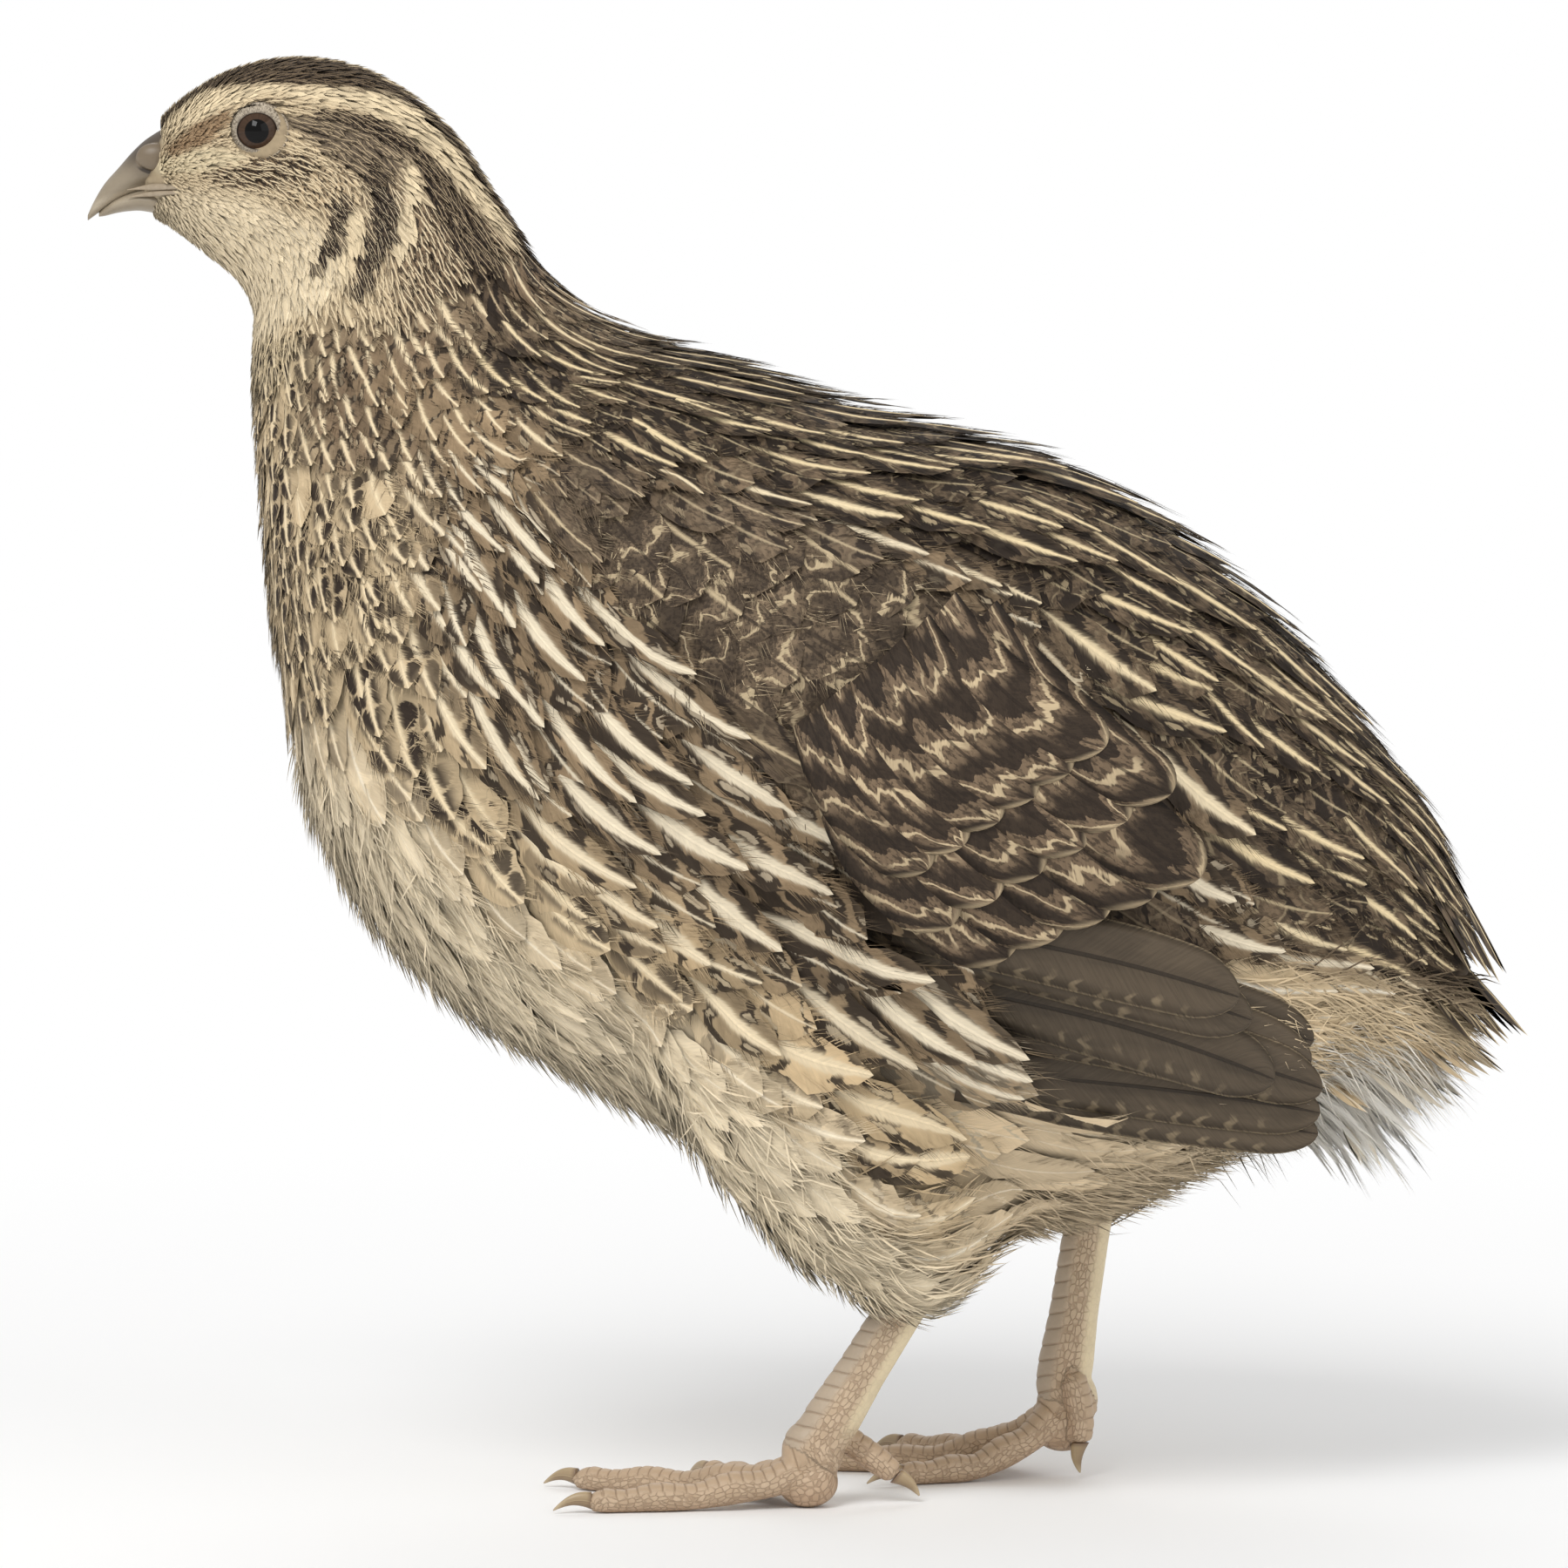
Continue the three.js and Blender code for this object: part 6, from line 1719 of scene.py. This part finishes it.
def joined_skin(tubes, voxel, smoothing):
    """Closed tubes melted into one closed surface, as points in mm and four-cornered faces."""
    rough = outward_mesh("rough", [t / MM for t in tubes])
    remesh = rough.modifiers.new("join", "REMESH")
    remesh.mode = "VOXEL"
    remesh.voxel_size = voxel
    even = rough.modifiers.new("even", "SMOOTH")
    even.factor, even.iterations = 0.5, smoothing
    whole = rough.evaluated_get(bpy.context.evaluated_depsgraph_get()).to_mesh()
    points = np.empty(len(whole.vertices) * 3, np.float32)
    whole.vertices.foreach_get("co", points)
    normals = np.empty(len(whole.vertices) * 3, np.float32)
    whole.vertices.foreach_get("normal", normals)
    faces = np.empty(len(whole.loops), np.int32)
    whole.loops.foreach_get("vertex_index", faces)
    assert len(faces) == 4 * len(whole.polygons)
    bpy.data.objects.remove(rough)
    return points.reshape(-1, 3), normals.reshape(-1, 3), faces.reshape(-1, 4)


def scale_map(points, limbs):
    """For each point the limb it lies on (the one it lies deepest in), the mm along it, the mm round it from
    the front, and the share of the way round to the back."""
    best = np.full(len(points), np.inf)
    along, round_, share, toe = (np.zeros(len(points)) for _ in range(4))
    for number, (name, (line, deep, wide, front)) in enumerate(limbs.items()):
        run, ahead, across = limb_frame(line, front)
        nearest = np.empty(len(points), int)
        for a in range(0, len(points), 8192):
            gap = points[a : a + 8192, None] - line[None]
            nearest[a : a + 8192] = np.argmin((gap**2).sum(-1), 1)
        off = points - line[nearest]
        f, w = (off * ahead[nearest]).sum(-1), (off * across[nearest]).sum(-1)
        depth = np.sqrt((off**2).sum(-1)) / wide[nearest]
        lengths = np.concatenate([[0], np.cumsum(np.linalg.norm(np.diff(line, axis=0), axis=1))])
        here = depth < best
        best = np.where(here, depth, best)
        turn = np.arctan2(w, f)
        along = np.where(here, lengths[nearest] + (off * run[nearest]).sum(-1) + 40 * number, along)
        round_ = np.where(here, turn * (wide[nearest] + deep[nearest]) / 2, round_)
        share = np.where(here, np.abs(turn) / math.pi, share)
        toe = np.where(here, 0.0 if name == "shin" else 1.0, toe)
    return along, round_, share, toe


def plates(along, round_, toe):
    """The place within each plate, 0 to 1. Their edges slope back to the sides, by a third of the way round."""
    pitch = np.where(toe > 0.5, PLATE["toe"], PLATE["shin"])
    return ((along + 0.35 * np.abs(round_) * (1 - toe)) / pitch) % 1.0


def leg_material():
    """Skin tones from pinkish tan to cream at the back of the shin. Plates are greyer in the middle with dark
    edges. Small scales come from cells, as the distance to the nearest edge, and both also raise the bump."""
    kit = Kit("leg scales")
    u, v, _ = kit.parts(kit.node("ShaderNodeUVMap", {"uv_map": "Scale"}))
    share, toe, _ = kit.parts(kit.attribute("limb"))
    front = share.step(0.42, 0.26)
    _, _, height_now = kit.parts(kit.place())
    rear = share.step(0.60, 0.78) * (1 - toe) * height_now.step(6 * MM, 10 * MM)
    pitch = PLATE["shin"] + (PLATE["toe"] - PLATE["shin"]) * toe
    wobble = kit.noise(kit.joined(u * 0.6, v * 0.6, 0), 1.0, 2.0) - 0.5
    part = ((u + v.size() * 0.35 * (1 - toe) + wobble * 0.25) / pitch).part()
    line = ((part - 0.5).size() * 2).step(0.78, 1.0)
    on_scales = {"Vector": kit.joined(u * 1.15, v * (toe * 0.4 + 1.65), 0), "Scale": 1.0, "Randomness": 0.65}
    cells = kit.node("ShaderNodeTexVoronoi", {"feature": "DISTANCE_TO_EDGE"}, **on_scales)
    tone, _, _ = kit.parts(kit.node("ShaderNodeTexVoronoi", None, out=1, **on_scales))
    edge = cells.step(0.12, 0.02)
    seam = front * line + (1 - front) * (1 - rear * 0.85) * edge
    grain = kit.noise(kit.place(), 2600.0, 3.0)
    cloud = kit.noise(kit.place(), 260.0, 3.0)
    _, _, z = kit.parts(kit.place())
    low = z.step(26 * MM, 3 * MM)
    colour = kit.blend(linear(196, 175, 146), linear(186, 161, 133), low)
    colour = kit.blend(colour, linear(178, 162, 142), front * (1 - toe) * 0.8)
    colour = kit.blend(colour, linear(222, 205, 170), rear)
    colour = kit.blend(colour, linear(212, 188, 160), (1 - rear) * (1 - front) * tone * 0.55)
    colour = kit.blend(colour, linear(176, 144, 116), toe * share.step(0.5, 0.9) * 0.5)
    colour = kit.blend(colour, linear(148, 123, 99), seam * 0.5)
    colour = kit.scaled(colour, 0.84 + grain * 0.12 + cloud * 0.22)
    height = (1 - seam) * 1.0 + grain * 0.12 + tone * 0.1
    return kit.finish(colour, 0.44 + seam * 0.2 + grain * 0.1, height, 0.00012, 0.75)


def claw_material():
    """Horn that is darker along its sides and paler at the ridge and the tip, with fine lines along it."""
    kit = Kit("claw horn")
    s, a, _ = kit.parts(kit.node("ShaderNodeUVMap", {"uv_map": "Claw"}))
    top = ((a * FULL).wave() + 1) * 0.5
    lines = kit.noise(kit.joined(s * 2, a * 26, 0), 1.0, 2.0)
    colour = kit.blend(linear(122, 98, 72), linear(186, 164, 128), top * 0.7 + lines * 0.3)
    colour = kit.blend(colour, linear(196, 178, 146), s.step(0.6, 1.0) * 0.7)
    colour = kit.blend(colour, linear(112, 86, 64), s.step(0.16, 0.0) * 0.8)
    return kit.finish(colour, 0.32 + lines * 0.15, lines, 0.00006, 0.4, **{"Coat Weight": 0.25, "Coat Roughness": 0.3})


SCALES, CLAW = leg_material(), claw_material()


def claw(name, start, run, across, length, droop, node):
    """A horn of radius 0.95 (1 - s)^0.75 that bows up by 0.35 sin(pi s) and droops by the square of s."""
    lift = unit(np.cross(run, across))
    lift = -lift if lift[2] < 0 or lift[0] > 0.9 else lift
    s = np.linspace(0, 1, 26)[:, None]
    a = np.arange(20) * FULL / 20
    radius = 0.88 * (1 - s) ** 0.75 + 0.07
    middle = start + run * (length * s) + lift * (0.35 * np.sin(math.pi * s) - droop * s**2)
    rings = middle[:, None] + across * (0.72 * radius * np.cos(a))[..., None] + lift * (radius * np.sin(a))[..., None]
    uv = ringed(np.stack(np.broadcast_arrays(s, a / FULL, 0 * s), -1))[:, :2]
    piece = outward_mesh(name, [rings], {"Claw": uv})
    piece.data.materials.append(CLAW)
    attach(piece, "root")
    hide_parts(node)


def add_leg(leg):
    """One leg's skin, then its four claws."""
    limbs = leg_limbs(leg)
    word, y = leg["word"], leg["side"] * FOOT_Y
    tubes = [limb_tube(*limb) for limb in limbs.values()]
    ball = ellipsoid_rings((leg["foot"][0] + 0.4, y, leg["heel"]), (3.3, 3.1, 2.75))
    instep = ellipsoid_rings((leg["foot"][0] + 1.0, y, leg["foot"][1] + 1.6), (3.3, 2.75, 3.6))
    points, normals, faces = joined_skin([*tubes, ball, instep], VOXEL, 14)
    along, round_, share, toe = scale_map(points, limbs)
    part = plates(along, round_, toe)
    front = 1 - step(share, 0.26, 0.42)
    swell = PLATE["high"] * (1 - np.abs(2 * part - 1) ** 5) * (0.6 + 0.4 * part) * front
    points = points + normals * (swell - 0.04)[:, None]
    points[:, 2] = np.maximum(points[:, 2], 0.0)
    colours = {"limb": np.stack([share, toe, 0 * toe], -1)}
    piece = mesh_of("leg_" + word, points, faces, {"Scale": np.stack([along, round_], -1)}, colours)
    piece.data.materials.append(SCALES)
    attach(piece, "root")
    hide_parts("tarsus_" + word, *("toe_" + name + "_" + word for name in limbs if name != "shin"))
    for name, (line, _, _, _) in limbs.items():
        if name == "shin":
            continue
        run = unit(line[-1] - line[-6])
        rear = name == "rear"
        start = line[-1] + run * (0.0 if rear else -0.2)
        if not rear:
            run[2] = 0
            start[2] = 1.35
        across = np.array([0.0, 1.0, 0.0]) if rear else np.array([-run[1], run[0], 0.0])
        claw("claw_" + name + "_horn_" + word, start, unit(run), across, 3.3 if rear else 4.1, 0.0 if rear else 0.95,
             "claw_" + name + "_" + word)
    print("leg", word, "has", len(faces), "faces")


for leg in LEGS:
    add_leg(leg)

# %% [markdown]
# The studio is a pale floor that runs into a pale backdrop, with large soft lights from above on both sides.
# The camera stands as in the photograph: level with the bird's middle and a little above, far away, so that
# the sides hardly close in.

# %% Studio and camera
SKY = 0.62


def studio():
    """Floor, world, three soft lights, and the camera 1.2 m off at 5.4 degrees."""
    floor = mesh_of("floor", np.array([[-4000, -4000, 0], [4000, -4000, 0], [4000, 4000, 0], [-4000, 4000, 0]], float),
                    np.array([[0, 1, 2, 3]]), smooth=False)
    kit = Kit("pale floor")
    place = kit.place()
    x, y, _ = kit.parts(place)
    far = (x * x + y * y).step(0.01, 0.09)
    cloud = kit.noise(place, 2.0, 2.0)
    card = kit.node("ShaderNodeBsdfDiffuse", None, kit.blend(linear(252, 252, 252), linear(248, 248, 248), cloud))
    glow = kit.node("ShaderNodeEmission", None, linear(255, 255, 255), 1.0)
    kit.node("ShaderNodeOutputMaterial", None, kit.node("ShaderNodeMixShader", None, far, card, glow))
    floor.data.materials.append(kit.material)
    world = bpy.data.worlds.new("studio")
    world.use_nodes = True
    tree = world.node_tree
    seen = tree.nodes.new("ShaderNodeLightPath")
    level = tree.nodes.new("ShaderNodeMath")
    level.operation = "MULTIPLY_ADD"
    level.inputs[1].default_value, level.inputs[2].default_value = 1.0 - SKY, SKY
    tree.links.new(seen.outputs["Is Camera Ray"], level.inputs[0])
    tree.links.new(level.outputs[0], tree.nodes["Background"].inputs[1])
    tree.nodes["Background"].inputs[0].default_value = (1, 1, 1, 1)
    bpy.context.scene.world = world
    for name, place, size, power in (
        ("key", (-0.35, -0.75, 0.95), 0.5, 6.5),
        ("fill", (0.7, -0.6, 0.5), 0.8, 1.5),
        ("rim", (0.1, 0.8, 0.8), 0.7, 2.0),
    ):
        light = bpy.data.lights.new(name, "AREA")
        light.energy, light.size = power, size
        lamp = bpy.data.objects.new(name, light)
        lamp.location = place
        back = np.array(place) - np.array([0, 0, 0.08])
        flat = math.hypot(back[0], back[1])
        lamp.rotation_euler = (math.atan2(flat, back[2]), 0, math.atan2(back[1], back[0]) + math.pi / 2)
        bpy.context.scene.collection.objects.link(lamp)
    camera = bpy.data.objects.new("camera", bpy.data.cameras.new("camera"))
    camera.data.sensor_width = 36.0
    camera.data.lens = 36.0 * VIEW_DISTANCE / 167.4
    rise = VIEW_RISE
    aim = np.array([-2.33, 0.0, AIM_HEIGHT - 0.74])
    place = aim + VIEW_DISTANCE * np.array([0, -math.cos(rise), math.sin(rise)])
    camera.location = place * MM
    camera.rotation_euler = (math.pi / 2 - rise, 0, 0)
    bpy.context.scene.collection.objects.link(camera)
    bpy.context.scene.camera = camera
    bpy.context.scene.view_settings.view_transform = "Standard"


studio()
